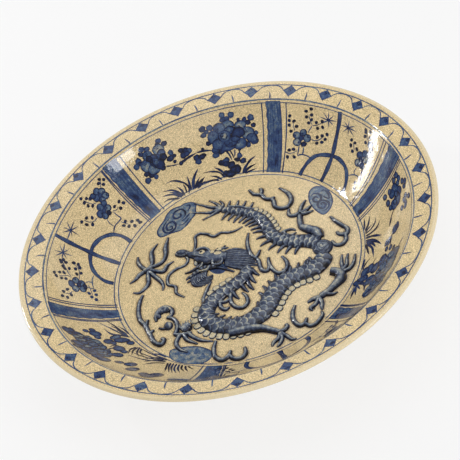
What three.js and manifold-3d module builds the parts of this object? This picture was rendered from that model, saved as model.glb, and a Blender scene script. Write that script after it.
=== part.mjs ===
// Wide footed bowl in crackled stoneware porcelain, with a dragon, clouds and a flaming pearl in relief on
// its floor. The bowl and its foot are turned forms. Each applied piece is a bead or pad of clay with a flat
// back, seated on the flat floor. Each was rolled, tapered or pressed by itself before it was luted on.
// Millimetres, +Z up, origin at the centre of the foot's standing face.
import * as THREE from 'three';
import { mergeVertices } from 'three/addons/utils/BufferGeometryUtils.js';
import Module from 'manifold-3d';

const wasm = await Module();
wasm.setup();

// Driving dimensions of the turned forms
const RIM_RADIUS = 200;
const RIM_BAND = 22.5;
const RIM_RISE = 6.2;
const RIM_THICKNESS = 5.5;
const LIP_THICKNESS = 4;
const WALL_THICKNESS = 7;
const FLOOR_RADIUS = 122;
const FLOOR_DEPTH = 59.5;
const FLOOR_THICKNESS = 8;
const WALL_BOW = 14;
const SHOULDER_FILLET = 4;
const FOOT_RADIUS = 112;
const FOOT_WIDTH = 10;
const FOOT_HEIGHT = 10;
const FOOT_CHAMFER = 1.5;
const FOOT_DRAFT = 2;
const TURNS = 64;

// Driving dimensions of the applied clay
const SEAT_GAP = 0.3;
const BEAD_TIP = 0.35;
const BEAD_ASPECT = 1.15;
const BEAD_SIDES = 4;
const BODY_SIDES = 6;
const BODY_RISE = 5;
const HEAD_RISE = 5;
const HAUNCH_RISE = 6.2;
const PLATE_RISE = 2.3;
const PLATE_PITCH = 6.2;
const PLATE_OVERLAP = 0.68;
const PLATE_LENGTH = 5;
const FIN_PITCH = 7;
const FIN_LEAN = 0.4;
const FIN_ROOT = 1.9;
const LOOP_FIN = 5.5;
const TAIL_FIN = 9;
const MANE_STRANDS = 7;
const BROW_SEAT = 2.6;
const SNOUT_TURN = -0.45;
const BUD_RISE = 3.8;
const EYE_SEAT = 2.5;
const EYE_RISE = 2.6;

// The relief is drawn on the floor in steps, so many of which go from its middle to its edge.
const FLOOR_STEPS = 122;
const STATION_STEPS = 6.2;
const STEP = FLOOR_RADIUS / FLOOR_STEPS;

const FLOOR_Z = FOOT_HEIGHT + FLOOR_THICKNESS;
const RIM_Z = FLOOR_Z + FLOOR_DEPTH;
const BAND_RADIUS = RIM_RADIUS - RIM_BAND;
const BAND_Z = RIM_Z - RIM_RISE;

// Glaze and clay
const crackle = new THREE.MeshStandardMaterial({ color: 0xd9c497, roughness: 0.3, metalness: 0 });
const cobalt = new THREE.MeshStandardMaterial({ color: 0x2f4674, roughness: 0.25, metalness: 0 });
const cream = new THREE.MeshStandardMaterial({ color: 0xe2d2a6, roughness: 0.3, metalness: 0 });
const biscuit = new THREE.MeshStandardMaterial({ color: 0xb9976a, roughness: 0.8, metalness: 0 });

// A closed mesh with nothing but merged positions, as a solid.
function solidOf(geometry) {
  const plain = geometry.clone();
  plain.deleteAttribute('normal');
  plain.deleteAttribute('uv');
  const merged = mergeVertices(plain, 1e-4);
  return new wasm.Manifold(new wasm.Mesh({
    numProp: 3,
    vertProperties: new Float32Array(merged.attributes.position.array),
    triVerts: new Uint32Array(merged.index.array),
  }));
}

function geometryOf(solid) {
  const mesh = solid.getMesh();
  const positions = new Float32Array(mesh.numVert * 3);
  for (let i = 0; i < mesh.numVert; i++) {
    for (let k = 0; k < 3; k++) {
      positions[i * 3 + k] = mesh.vertProperties[i * mesh.numProp + k];
    }
  }
  const geometry = new THREE.BufferGeometry();
  geometry.setAttribute('position', new THREE.BufferAttribute(positions, 3));
  geometry.setIndex(new THREE.BufferAttribute(new Uint32Array(mesh.triVerts), 1));
  geometry.computeVertexNormals();
  return geometry;
}

// The inside of the wall: an arc from the floor's edge to the shoulder, bowed below its chord.
function wallPoint(t, offset = 0) {
  const rise = BAND_Z - FLOOR_Z;
  const run = BAND_RADIUS - FLOOR_RADIUS;
  const bow = THREE.MathUtils.degToRad(WALL_BOW);
  const chord = Math.atan2(rise, run);
  const arcRadius = Math.hypot(rise, run) / (2 * Math.sin(bow));
  const slope = chord - bow + 2 * bow * t;
  return new THREE.Vector2(
    FLOOR_RADIUS + arcRadius * (Math.sin(slope) - Math.sin(chord - bow)) + offset * Math.sin(slope),
    FLOOR_Z + arcRadius * (Math.cos(chord - bow) - Math.cos(slope)) - offset * Math.cos(slope),
  );
}

// Quarter turn or less of a circle between two headings, for rounded edges.
function roundEdge(centreR, centreZ, radius, fromDegrees, toDegrees, steps) {
  return Array.from({ length: steps + 1 }, (_, i) => {
    const angle = THREE.MathUtils.degToRad(fromDegrees + ((toDegrees - fromDegrees) * i) / steps);
    return new THREE.Vector2(centreR + radius * Math.cos(angle), centreZ + radius * Math.sin(angle));
  });
}

// The rim's upper face rises evenly from the shoulder to the lip.
const rimTop = (radius) => RIM_Z - (RIM_RISE * (RIM_RADIUS - radius)) / RIM_BAND;

function bowlGeometry() {
  const wallSteps = 5;
  const edge = LIP_THICKNESS / 2;
  const under = BAND_RADIUS + WALL_THICKNESS;
  const profile = [
    new THREE.Vector2(0, FOOT_HEIGHT),
    new THREE.Vector2(FOOT_RADIUS + FOOT_DRAFT, FOOT_HEIGHT),
  ];
  for (let i = 1; i < wallSteps; i++) {
    profile.push(wallPoint(i / wallSteps, WALL_THICKNESS));
  }
  profile.push(new THREE.Vector2(under, rimTop(under) - RIM_THICKNESS - SHOULDER_FILLET));
  profile.push(new THREE.Vector2(under + SHOULDER_FILLET, rimTop(under + SHOULDER_FILLET) - RIM_THICKNESS));
  profile.push(...roundEdge(RIM_RADIUS - edge, RIM_Z - edge, edge, -90, 90, 4));
  profile.push(new THREE.Vector2(BAND_RADIUS + SHOULDER_FILLET / 2, rimTop(BAND_RADIUS + SHOULDER_FILLET / 2)));
  profile.push(new THREE.Vector2(BAND_RADIUS, BAND_Z - SHOULDER_FILLET / 4));
  for (let i = wallSteps - 1; i > 0; i--) {
    profile.push(wallPoint(i / wallSteps));
  }
  profile.push(new THREE.Vector2(FLOOR_RADIUS, FLOOR_Z), new THREE.Vector2(0, FLOOR_Z));
  return new THREE.LatheGeometry(profile, TURNS).rotateX(Math.PI / 2);
}

function footGeometry() {
  const inner = FOOT_RADIUS - FOOT_WIDTH;
  const profile = [
    new THREE.Vector2(inner + FOOT_CHAMFER, 0),
    new THREE.Vector2(FOOT_RADIUS - FOOT_CHAMFER, 0),
    new THREE.Vector2(FOOT_RADIUS, FOOT_CHAMFER),
    new THREE.Vector2(FOOT_RADIUS + FOOT_DRAFT, FOOT_HEIGHT),
    new THREE.Vector2(inner - FOOT_DRAFT, FOOT_HEIGHT),
    new THREE.Vector2(inner, FOOT_CHAMFER),
    new THREE.Vector2(inner + FOOT_CHAMFER, 0),
  ];
  return new THREE.LatheGeometry(profile, TURNS).rotateX(Math.PI / 2);
}

// Routes of x, y and half width in steps of the floor's drawing, as millimetres.
const drawn = (routes) => routes.map((route) => route.map((point) => point.map((value) => value * STEP)));

const curveThrough = (route) =>
  new THREE.CatmullRomCurve3(route.map((point) => new THREE.Vector3(...point)), false, 'centripetal');

// A tapering bead of clay pressed on the floor. Each route point is x, y and half the bead's width there.
// grow makes the same bead a little larger, which is what a neighbour is cut back by.
function bead(route, { sides = BEAD_SIDES, top = Infinity, grow = 0, base = 0 } = {}) {
  const curve = curveThrough(route);
  const flat = curveThrough(route.map(([x, y]) => [x, y, 0]));
  const count = Math.max(2, Math.round(flat.getLength() / (STATION_STEPS * STEP)));
  const positions = [];
  for (let i = 0; i <= count; i++) {
    const here = curve.getPoint(i / count);
    const heading = flat.getTangent(i / count);
    const size = Math.max(here.z, BEAD_TIP);
    const half = size + grow;
    const height = Math.min(BEAD_ASPECT * size, top) + grow;
    const reach = i === 0 ? -grow : i === count ? grow : 0;
    for (let k = 0; k <= sides; k++) {
      const angle = (Math.PI * k) / sides;
      const across = half * Math.cos(angle);
      positions.push(
        here.x + heading.x * reach + heading.y * across,
        here.y + heading.y * reach - heading.x * across,
        FLOOR_Z + base + height * Math.sin(angle),
      );
    }
  }
  const around = sides + 1;
  const index = [];
  for (let i = 0; i < count; i++) {
    for (let k = 0; k < around; k++) {
      const a = i * around + k;
      const b = i * around + ((k + 1) % around);
      index.push(a, a + around, b, b, a + around, b + around);
    }
  }
  for (let k = 1; k < around - 1; k++) {
    const end = count * around;
    index.push(0, k, k + 1);
    index.push(end, end + k + 1, end + k);
  }
  const geometry = new THREE.BufferGeometry();
  geometry.setAttribute('position', new THREE.Float32BufferAttribute(positions, 3));
  geometry.setIndex(index);
  let solid = solidOf(geometry);
  if (solid.volume() < 0) {
    for (let i = 0; i < index.length; i += 3) {
      [index[i + 1], index[i + 2]] = [index[i + 2], index[i + 1]];
    }
    geometry.setIndex(index);
    solid = solidOf(geometry);
  }
  return solid;
}

// A rounded pad with a flat back, such as a haunch, an eye or a belly plate.
function pad(x, y, radiusX, radiusY, turn, height, { grow = 0, base = 0, sides = 10 } = {}) {
  const profile = [
    new THREE.Vector2(0, 0),
    new THREE.Vector2(1, 0),
    new THREE.Vector2(0.75, 0.75),
    new THREE.Vector2(0, 1),
  ];
  const geometry = new THREE.LatheGeometry(profile, sides)
    .rotateX(Math.PI / 2)
    .scale(radiusX + grow, radiusY + grow, height + grow)
    .rotateZ(turn)
    .translate(x, y, FLOOR_Z + base);
  return solidOf(geometry);
}

const joined = (solids) => solids.reduce((a, b) => a.add(b));

// An open ring of clay, as a route in steps of the floor's drawing.
function ringRoute(x, y, radius, half, fromDegrees, toDegrees) {
  const count = 8;
  return Array.from({ length: count + 1 }, (_, i) => {
    const angle = THREE.MathUtils.degToRad(fromDegrees + ((toDegrees - fromDegrees) * i) / count);
    return [x + radius * Math.cos(angle), y + radius * Math.sin(angle), half];
  });
}

// Routes of the dragon's body. Its belly is on the right hand of each route and its fins are on the left.
const [FOREBODY, HINDBODY] = drawn([
  [
    [8, -13.5, 6], [0, -22.5, 7], [-14, -28.5, 7], [-28.5, -33.5, 7.5], [-40, -41.5, 8], [-45.5, -53, 8.5],
    [-39.5, -66.5, 9], [-25, -75.5, 9], [-7.5, -77, 9.5], [9, -70.5, 10], [20.5, -57.5, 10],
    [32.5, -48.5, 10],
    [47, -45.5, 9.5], [62, -46, 9.5], [74.5, -40, 9], [80, -31, 8.5],
  ],
  [
    [78.5, -16.5, 8], [70, -8.5, 8], [58, -2, 8], [47, 7, 7.5], [41, 19, 7], [40, 32, 6.5], [37, 45.2, 6.2],
    [30, 56.4, 5.6], [20, 65.4, 4.8], [11, 72.6, 4], [4, 78.6, 3],
  ],
]);
const HAUNCH = { x: 80.5 * STEP, y: -24 * STEP, radius: 9.6 * STEP };
const EYE = { x: -29 * STEP, y: 26.5 * STEP, radius: 3.4 * STEP };

// Spiny fins of the neck and of the loop, each from its root in the body to its free tip.
const NECK_SPIKES = drawn([
  [[10.5, -17.5, 2], [14.9, -27.2, 0.4]], [[6.7, -24.5, 2], [9.5, -35.1, 0.4]],
  [[2.4, -29.5, 2], [5.1, -42.3, 0.4]], [[-3.6, -32, 2], [-0.3, -42.5, 0.4]],
  [[-14, -35, 2], [-10.7, -46.5, 0.4]],
]);
const LOOP_SPIKES = drawn([
  [[-36.5, -53.5, 1.3], [-33, -54.5, 0.4]], [[-33, -59.3, 1.3], [-28, -58.8, 0.4]],
  [[-26.6, -65, 1.3], [-23, -63.2, 0.4]], [[-21.3, -67.8, 1.3], [-17.7, -66, 0.4]],
  [[-16, -70, 1.3], [-12.2, -67.8, 0.4]], [[-11, -70.4, 1.3], [-6.2, -67.4, 0.4]],
  [[-4.4, -69.3, 2.2], [-0.7, -63.6, 0.4]], [[2.3, -67.5, 2.2], [4.3, -58, 0.4]],
  [[8, -65.5, 2.2], [9.8, -52.5, 0.4]], [[14, -58.5, 2.2], [16.4, -45.6, 0.4]],
  [[20.2, -52.5, 2.2], [23.6, -40.9, 0.4]],
]);

function routeFrame(route) {
  const curve = curveThrough(route);
  return (t) => {
    const here = curve.getPointAt(t);
    const tangent = curve.getTangentAt(t);
    const heading = new THREE.Vector2(tangent.x, tangent.y).normalize();
    return { here, heading, right: new THREE.Vector2(heading.y, -heading.x) };
  };
}

const stretch = (route, from, to) => curveThrough(route).getLength() * (to - from);

// A row of fins along the left hand of a body route, from one share of its length to another.
function finRow(route, from, to, length, grow) {
  const frame = routeFrame(route);
  const count = Math.round(stretch(route, from, to) / FIN_PITCH);
  return Array.from({ length: count }, (_, i) => {
    const { here, heading, right } = frame(from + ((to - from) * (i + 0.5)) / count);
    const root = here.z - FIN_ROOT;
    const tip = here.z + length;
    return bead([
      [here.x - right.x * root, here.y - right.y * root, FIN_ROOT],
      [
        here.x - right.x * tip + heading.x * length * FIN_LEAN,
        here.y - right.y * tip + heading.y * length * FIN_LEAN,
        BEAD_TIP,
      ],
    ], { sides: 3, grow });
  });
}

// A row of overlapping belly plates, evenly spaced along the belly's edge of a body route.
function bellyPlates(route, from, to) {
  const frame = routeFrame(route);
  const edge = curveThrough(Array.from({ length: 30 }, (_, i) => {
    const { here, right } = frame(from + ((to - from) * i) / 29);
    return [here.x + right.x * here.z, here.y + right.y * here.z, 0];
  }));
  const count = Math.round(edge.getLength() / PLATE_PITCH);
  return (grow) => joined(Array.from({ length: count }, (_, i) => {
    const place = edge.getPointAt((i + 0.5) / count);
    const heading = edge.getTangentAt((i + 0.5) / count);
    const turn = Math.atan2(-heading.x, heading.y);
    const half = PLATE_PITCH * PLATE_OVERLAP;
    return pad(place.x, place.y, PLATE_LENGTH, half, turn, PLATE_RISE, { grow, sides: 8 });
  }));
}

// The mane is combed from the back of the head over the neck. Its strands change evenly from the first of
// these routes to the last.
const [MANE_TOP, MANE_FOOT] = drawn([
  [[-7, 20.5, 1.8], [1, 17, 2.4], [9, 10.5, 2.4], [14.5, 1, 1.8], [16, -8, 0.5]],
  [[-12.5, 2, 1.6], [-8, -4, 2], [-3, -12, 1.8], [1.5, -17.5, 1.2], [4.5, -21, 0.5]],
]);
const maneStrand = (share) =>
  MANE_TOP.map((point, i) => point.map((value, k) => value + (MANE_FOOT[i][k] - value) * share));

const beads = (routes) => (grow) => joined(drawn(routes).map((route) => bead(route, { grow })));

// Every applied piece, in the order they were laid: its clay, what it is cut back by, and its material.
const applied = {
  dragon_haunch: {
    clay: (grow) => pad(HAUNCH.x, HAUNCH.y, HAUNCH.radius, HAUNCH.radius, 0, HAUNCH_RISE, { grow, sides: 18 }),
    material: cobalt,
  },
  dragon_head: {
    clay: (grow) => joined([
      ...drawn([
        [[-7, 12.5, 4.5], [-15, 16, 8], [-25, 22, 8], [-32.5, 27.5, 5.6], [-40, 32.6, 3.6],
          [-45, 36.5, 3.4]],
      ]).map((route) => bead(route, { top: HEAD_RISE, sides: BODY_SIDES, grow })),
      ...drawn([
        [[-22, 15, 4], [-27, 16, 5], [-33, 20.5, 4.5], [-38.5, 25, 2.6]],
        ringRoute(-18, 9.7, 4.6, 1.7, 40, 330),
      ]).map((route) => bead(route, { top: HEAD_RISE, grow })),
      bead(drawn([ringRoute(-29, 26.5, 4.6, 1.3, -40, 200)])[0], { base: BROW_SEAT, grow }),
      pad(-47.5 * STEP, 39 * STEP, 7.6 * STEP, 4.6 * STEP, SNOUT_TURN, HEAD_RISE, { grow, sides: 12 }),
    ]),
    material: cobalt,
  },
  dragon_forebody: {
    clay: (grow) => joined([
      bead(FOREBODY, { top: BODY_RISE, sides: BODY_SIDES, grow }),
      ...[...NECK_SPIKES, ...LOOP_SPIKES].map((route) => bead(route, { sides: 3, grow })),
      ...finRow(FOREBODY, 0.66, 0.93, LOOP_FIN, grow),
    ]),
    cutBy: ['dragon_haunch'],
    material: cobalt,
  },
  dragon_hindbody: {
    clay: (grow) => joined([
      bead(HINDBODY, { top: BODY_RISE, sides: BODY_SIDES, grow }),
      ...finRow(HINDBODY, 0.12, 0.95, TAIL_FIN, grow),
    ]),
    cutBy: ['dragon_haunch'],
    material: cobalt,
  },
  dragon_mane: {
    clay: (grow) => joined(Array.from({ length: MANE_STRANDS }, (_, i) =>
      bead(maneStrand(i / (MANE_STRANDS - 1)), { sides: 3, grow }))),
    cutBy: ['dragon_head', 'dragon_forebody'],
    material: cobalt,
  },
  dragon_lower_jaw: {
    clay: beads([
      [[-20.5, 4.5, 2.4], [-26, 6.4, 3], [-31.5, 8.2, 2.8], [-38, 7.4, 2.4], [-44, 5.8, 1.8],
        [-48.8, 2.8, 0.8]],
      [[-51, 11.6, 0.6], [-45.7, 10.3, 1.3], [-38.5, 10.6, 1.8], [-31, 12, 2.2]],
    ]),
    cutBy: ['dragon_head', 'dragon_mane'],
    material: cobalt,
  },
  dragon_beard: {
    clay: beads([
      [[-29, 1.5, 1.8], [-36, 2, 2], [-43, 1.5, 1.8], [-49, 0.5, 1.2]],
      [[-46, 1, 1.6], [-48.4, -3, 1.6], [-48.2, -8, 1.3], [-43.5, -12.5, 0.5]],
      [[-42, 1, 1.6], [-44.8, -4, 1.5], [-43.5, -9, 1.3], [-38.5, -13.2, 0.5]],
      [[-38, 1, 1.6], [-40.6, -4, 1.5], [-38.6, -8, 1.2], [-33.5, -11, 0.5]],
      [[-33, 1, 1.6], [-35.6, -3, 1.4], [-33, -6.4, 1.2], [-28.5, -6.8, 0.5]],
    ]),
    cutBy: ['dragon_head', 'dragon_mane', 'dragon_lower_jaw'],
    material: cobalt,
  },
  dragon_horn: {
    clay: beads([[[-17, 25.6, 1.3], [-12.5, 25.2, 2], [-8, 24.4, 1.6], [-3.2, 25, 0.7]]]),
    cutBy: ['dragon_head', 'dragon_mane'],
    material: cream,
  },
  dragon_fang: {
    clay: beads([[[-37.2, 22, 1.4], [-37.9, 19, 1.8], [-38.6, 16, 1]]]),
    cutBy: ['dragon_head', 'dragon_lower_jaw'],
    material: cream,
  },
  upper_whisker: {
    clay: beads([[[-35.5, 36.5, 1.3], [-33, 41.8, 1.3], [-31, 49.5, 1.4], [-30, 55, 1.4], [-24.8, 56.8, 1.5],
      [-18.3, 52.6, 1.5], [-11.8, 45.4, 1.5], [-4.6, 46.8, 1.4], [3.5, 42.8, 1.3], [9.8, 42, 1],
      [17.5, 43.6, 0.5]]]),
    cutBy: ['dragon_head', 'dragon_hindbody'],
    material: cobalt,
  },
  lower_whisker: {
    clay: beads([[[-45, 33, 1.2], [-44.2, 28.1, 1.3], [-48.2, 22.6, 1.4], [-57.4, 21.8, 1.5], [-67, 17.2, 1.5],
      [-70, 6, 1.5], [-64, -1, 1.5], [-65, -9, 1.2], [-59, -18, 0.5]]]),
    cutBy: ['dragon_head'],
    material: cobalt,
  },
  dragon_forepaw: {
    clay: beads([
      [[-27, -36.8, 2], [-29, -43, 1.9], [-28.8, -49.3, 1.9], [-25.6, -53, 1.8], [-21.6, -51.4, 0.9]],
      [[-29, -41.6, 1.6], [-23.4, -43.6, 1.8], [-18, -42.4, 1.6]],
      [[-16.3, -36.5, 1.9], [-18.6, -43.6, 2], [-17.8, -51.3, 2], [-14, -56.8, 2], [-9.6, -58.4, 1.9],
        [-4.4, -54.6, 1.9], [-3.4, -47.2, 1.5], [-6, -40, 0.6]],
    ]),
    cutBy: ['dragon_forebody'],
    material: cobalt,
  },
  elbow_spike: {
    clay: beads([[[-38, -38.6, 1.8], [-42.6, -36, 2], [-42, -30.5, 2], [-39, -24.6, 1.9], [-35, -18.2, 1.5],
      [-29.9, -11.8, 0.5]]]),
    cutBy: ['dragon_forebody', 'belly_plates_neck'],
    material: cobalt,
  },
  lower_leg: {
    clay: beads([
      [[-30, -83.5, 4], [-21, -84.8, 5], [-10, -87.2, 4.6], [0, -91.5, 3.8], [7.1, -97.6, 3.1],
        [12.6, -103, 3.3]],
      [[11.5, -101.5, 2.3], [16.7, -102.5, 2.1], [21, -99.8, 1.9], [20.5, -96, 1.3]],
      [[12.5, -104, 2.1], [9.9, -108.6, 1.9], [4.2, -111.6, 1.7], [1.8, -114.6, 0.8]],
      [[13, -104, 2.1], [13, -110, 1.9], [9, -115.5, 1.6], [5.9, -117.4, 0.7]],
      [[14, -104.5, 2.1], [17.6, -110.5, 1.9], [20.4, -115.6, 1.5], [24.2, -116.8, 0.6]],
    ]),
    cutBy: ['dragon_forebody', 'belly_plates_loop'],
    material: cobalt,
  },
  hind_leg: {
    clay: beads([
      [[78, -57, 4], [84, -62.5, 5], [83.5, -69.5, 4.8], [77, -73.5, 4], [69, -78, 3.2], [58, -81.5, 3.2]],
      [[59, -81.5, 2.4], [52.5, -80.6, 2.1], [46.6, -82, 1.2]],
      [[57, -82.5, 2.4], [52, -87.5, 2], [46.5, -89.8, 1.6], [47.6, -93.2, 0.7]],
      [[58, -82.5, 2.4], [58, -88.5, 2.1], [56.6, -93, 1.7], [55.6, -96.6, 0.6]],
      [[64, -80.5, 2.1], [70.6, -83.6, 1.7], [75, -83.4, 0.6]],
    ]),
    cutBy: ['dragon_forebody', 'belly_plates_flank'],
    material: cobalt,
  },
  hock_flames: {
    clay: beads([
      [[84, -60.5, 2.4], [88.4, -59, 1.9], [90.3, -51, 1.7], [94, -42, 0.5]],
      [[87, -61.5, 2.4], [93.4, -56.4, 1.9], [96.2, -49.5, 1.4], [99.4, -43.6, 0.5]],
      [[88, -63, 2.3], [95, -61.6, 1.9], [100.6, -56.4, 1.6], [105.4, -47.4, 0.5]],
    ]),
    cutBy: ['hind_leg', 'dragon_forebody', 'dragon_haunch', 'belly_plates_flank'],
    material: cobalt,
  },
  upper_leg: {
    clay: beads([
      [[83, -11, 3.5], [82, -2, 5.4], [76, 5.4, 4.6], [71.2, 12.4, 3.4], [72, 21, 2.8], [74.6, 29.5, 3]],
      [[74, 31, 2.3], [68.6, 31, 2.1], [65, 34, 1.9], [65.4, 39, 1.5], [67.2, 43, 0.7]],
      [[75, 31, 2.3], [78.4, 37.8, 2], [82, 42, 1.7], [85.8, 46, 0.7]],
      [[76, 30.5, 2.3], [82.4, 32.2, 2], [86, 34.5, 1.6], [89, 36.2, 0.7]],
      [[76, 29, 2.2], [82, 27.6, 1.8], [88, 28, 0.8]],
    ]),
    cutBy: ['dragon_haunch', 'dragon_hindbody'],
    material: cobalt,
  },
  thigh_wisps: {
    clay: beads([
      [[47.5, 14, 1.5], [54.9, 15.6, 1.6], [61.6, 14, 1.3], [64, 10.8, 0.6]],
      [[53, 15.4, 1.5], [54.2, 10.4, 1.5], [58, 7.2, 1.5], [63.8, 8.1, 0.6]],
    ]),
    cutBy: ['dragon_hindbody', 'upper_leg', 'belly_plates_tail'],
    material: cobalt,
  },
  shoulder_flame: {
    clay: beads([
      [[20.8, 32, 0.5], [16.7, 22, 1.5], [14.7, 10.5, 1.8], [15.7, 0.2, 1.8], [19.5, -8.7, 1.9],
        [18.8, -18.5, 2],
        [20.2, -24.2, 2], [24, -25.8, 1.9], [27.4, -21, 1.9], [28.4, -14, 1.5], [29.6, -9.6, 0.8]],
      [[17.5, -4, 1.8], [21, -1.5, 1.6], [25, 4, 0.9]],
      [[27.8, -20, 1.8], [29.2, -28, 1.9], [33, -34.6, 2], [38, -34.6, 2], [42.4, -30.6, 2],
        [43.9, -23.6, 1.8],
        [41.6, -14.6, 0.8]],
    ]),
    cutBy: ['dragon_forebody', 'dragon_mane'],
    material: cobalt,
  },
  tail_tuft: {
    clay: beads([
      [[5, 79.4, 2.6], [-6, 89.4, 1.3], [-19, 102.4, 0.8]],
      [[5, 79.4, 2.6], [-8, 81.4, 1.3], [-24, 90.4, 0.8]],
      [[5, 79.4, 2.6], [-6, 76.4, 1.3], [-17, 74.4, 0.5]],
      [[5, 79.4, 2.6], [2, 89.4, 1.3], [-4, 98.4, 0.5]],
      [[5, 79.4, 2.6], [8, 85.4, 1.3], [6, 92.4, 0.5]],
    ]),
    cutBy: ['dragon_hindbody'],
    material: cobalt,
  },
  tail_crest: {
    clay: beads([
      [[12, 78.4, 1.8], [21, 73.4, 1.8], [29, 66.4, 1.8], [36, 60.4, 1.6]],
      [[12, 78.4, 1.6], [14, 82.4, 1.2], [16, 86.4, 0.4]],
      [[19, 74.4, 1.6], [22, 78.4, 1.2], [24, 82.4, 0.4]],
      [[25, 70.4, 1.6], [28, 73.4, 1.2], [31, 77.4, 0.4]],
      [[31, 64.4, 1.6], [34, 67.4, 1.2], [37, 71.4, 0.4]],
    ]),
    cutBy: ['dragon_hindbody', 'tail_tuft', 'belly_plates_tail'],
    material: cobalt,
  },
  pearl_flame: {
    clay: beads([
      [[-86, 36, 2], [-89.3, 40.6, 2.1], [-92.1, 50, 1.9], [-91.1, 58.4, 0.5]],
      [[-83.5, 37, 2], [-79.3, 40.6, 2], [-77.6, 51, 2.6], [-76, 58, 2], [-68, 66, 0.5]],
      [[-82, 37, 2], [-73.3, 36.8, 2.1], [-67.3, 39.8, 2.1], [-63.6, 46, 2.2], [-61.5, 56, 2.6],
        [-56, 69, 0.6]],
      [[-83, 34, 2.2], [-76, 28.1, 2.2], [-70.5, 25.6, 2.4], [-64.6, 31.4, 1.8], [-58.2, 33.4, 0.5]],
      [[-84, 32, 2.2], [-79.6, 21.6, 2.2], [-75.9, 13.2, 1.9], [-75, 6.6, 1.2], [-76.6, 1.2, 0.5]],
      [[-85.4, 32, 2.1], [-86.9, 25, 2.2], [-88.3, 16.8, 2.2], [-93.4, 12.2, 1.8], [-99.2, 9.6, 1.3],
        [-104.8, 12.9, 0.5]],
      [[-88, 34.6, 2.1], [-94.3, 33, 2.2], [-99.8, 28.8, 1.6], [-105.6, 26.8, 0.5]],
      [[-89, 35, 2.8], [-84.7, 34.6, 3.4], [-80, 34.8, 2.8]],
    ]),
    material: cobalt,
  },
  left_scroll: {
    clay: beads([
      [[-96.7, 4.8, 1], [-101.3, -2.5, 1.9], [-105.1, -14.5, 2.1], [-105.3, -25.8, 2.2],
        [-102.1, -34.3, 2.2],
        [-101, -42, 2.1], [-99.6, -50.6, 2.1], [-97.8, -59, 2.1], [-92.6, -64.2, 2.1], [-88.8, -60, 1.9],
        [-91, -56.4, 1.2]],
      [[-101.6, -35.5, 2], [-98.4, -28.2, 1.3]],
      [[-100.4, -46, 2], [-95.4, -43.6, 1.3]],
    ]),
    cutBy: ['pearl_flame'],
    material: cobalt,
  },
  fungus_stem: {
    clay: (grow) => joined([
      ...[[-88.6, -29.2, 3.4], [-84.4, -24.6, 3.7], [-78.2, -25, 4]].map(([x, y, radius]) =>
        pad(x * STEP, y * STEP, radius * STEP, radius * STEP, 0, BUD_RISE, { grow, sides: 8 })),
      beads([
        [[-91.2, -34.5, 0.8], [-89.6, -28.4, 2.6], [-84.5, -23.2, 3], [-78.4, -23.2, 3.2],
          [-74.5, -27.8, 2.6], [-75, -33.2, 1.9], [-79.5, -35, 1.2]],
        [[-80.2, -34.6, 1.4], [-75, -39.8, 2], [-73.1, -47.3, 2.1], [-74.6, -54, 2.1], [-77.4, -58.6, 1.9],
          [-72.6, -61.8, 2.1], [-62.6, -63.8, 1.6]],
        [[-70, -58.5, 4.6], [-65.1, -56.1, 5.4], [-60.4, -54.4, 4.4]],
        [[-73, -61, 2.2], [-79, -69, 2], [-77.4, -78, 1.6], [-71.4, -84.4, 0.6]],
        [[-70, -61.5, 2.2], [-68.6, -70, 1.9], [-60.6, -79.6, 0.6]],
        [[-66, -62.6, 2.2], [-62.8, -69, 1.9], [-56.2, -77.4, 1.5], [-46.4, -83.6, 0.5]],
      ])(grow),
    ]),
    material: cobalt,
  },
  fungus_bud: {
    clay: (grow) => joined([
      pad(-81.4 * STEP, -45.6 * STEP, 4.2 * STEP, 4.8 * STEP, 0, BUD_RISE, { grow }),
      beads([[[-90.4, -43.4, 0.6], [-87.6, -46.4, 1.2], [-83, -48, 1.2]]])(grow),
    ]),
    cutBy: ['fungus_stem'],
    material: cobalt,
  },
  lower_scroll: {
    clay: beads([
      [[-44, -84.4, 1.2], [-48, -92.6, 1.9], [-49, -101.6, 2.1], [-44, -108.4, 2.2], [-37, -106.4, 2.1],
        [-34, -101.4, 1.2]],
      [[-37, -105.4, 1.9], [-34, -111.4, 2], [-28, -114.2, 2.1], [-22.5, -111.4, 2.1], [-21, -103.6, 1]],
    ]),
    cutBy: ['fungus_stem'],
    material: cobalt,
  },
  near_scroll: {
    clay: beads([
      [[34.8, -79.4, 1], [30.8, -85.8, 1.9], [28.5, -93, 2.1], [29, -99.4, 2.2], [32, -104.4, 2.2],
        [36.6, -104, 2],
        [40.2, -98.6, 1]],
      [[36.6, -104.4, 1.9], [40.4, -109, 2], [45, -109.2, 2], [50.4, -106, 1.9], [54.4, -101.6, 1.4],
        [54.6, -97.6, 0.6]],
    ]),
    cutBy: ['dragon_forebody', 'belly_plates_flank', 'hind_leg', 'lower_leg'],
    material: cobalt,
  },
  far_scroll: {
    clay: beads([
      [[38, 91.4, 0.8], [41, 82.4, 1.9], [47, 77.4, 2.1], [50, 69.4, 2.1], [56, 63.4, 2.3],
        [55.5, 53.4, 2.2],
        [60, 47.4, 2.3], [67, 46.4, 2.3], [73, 53.4, 2.3], [73, 64.4, 2.3], [67, 77.4, 0.8]],
      [[47, 77.4, 1.9], [50, 83.4, 1.9], [49, 87.4, 1]],
      [[54, 64.4, 2.1], [59, 67.4, 1.6]],
    ]),
    material: cobalt,
  },
  side_scroll: {
    clay: beads([
      [[100.2, 11.6, 0.8], [102.6, 3.5, 1.9], [106.4, -5.6, 2.2], [109.6, -13, 2.2], [106.6, -18.6, 2.2],
        [100.6, -15.6, 1.9], [99, -11, 1]],
      [[105.4, -19.6, 2], [103.6, -25.6, 2], [98.4, -29.4, 2.1], [93, -27.4, 1.9], [91, -20, 1]],
    ]),
    cutBy: ['dragon_haunch'],
    material: cobalt,
  },
  belly_plates_neck: {
    clay: bellyPlates(FOREBODY, 0.09, 0.24),
    cutBy: ['dragon_forebody'],
    material: cream,
  },
  belly_plates_loop: {
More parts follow.
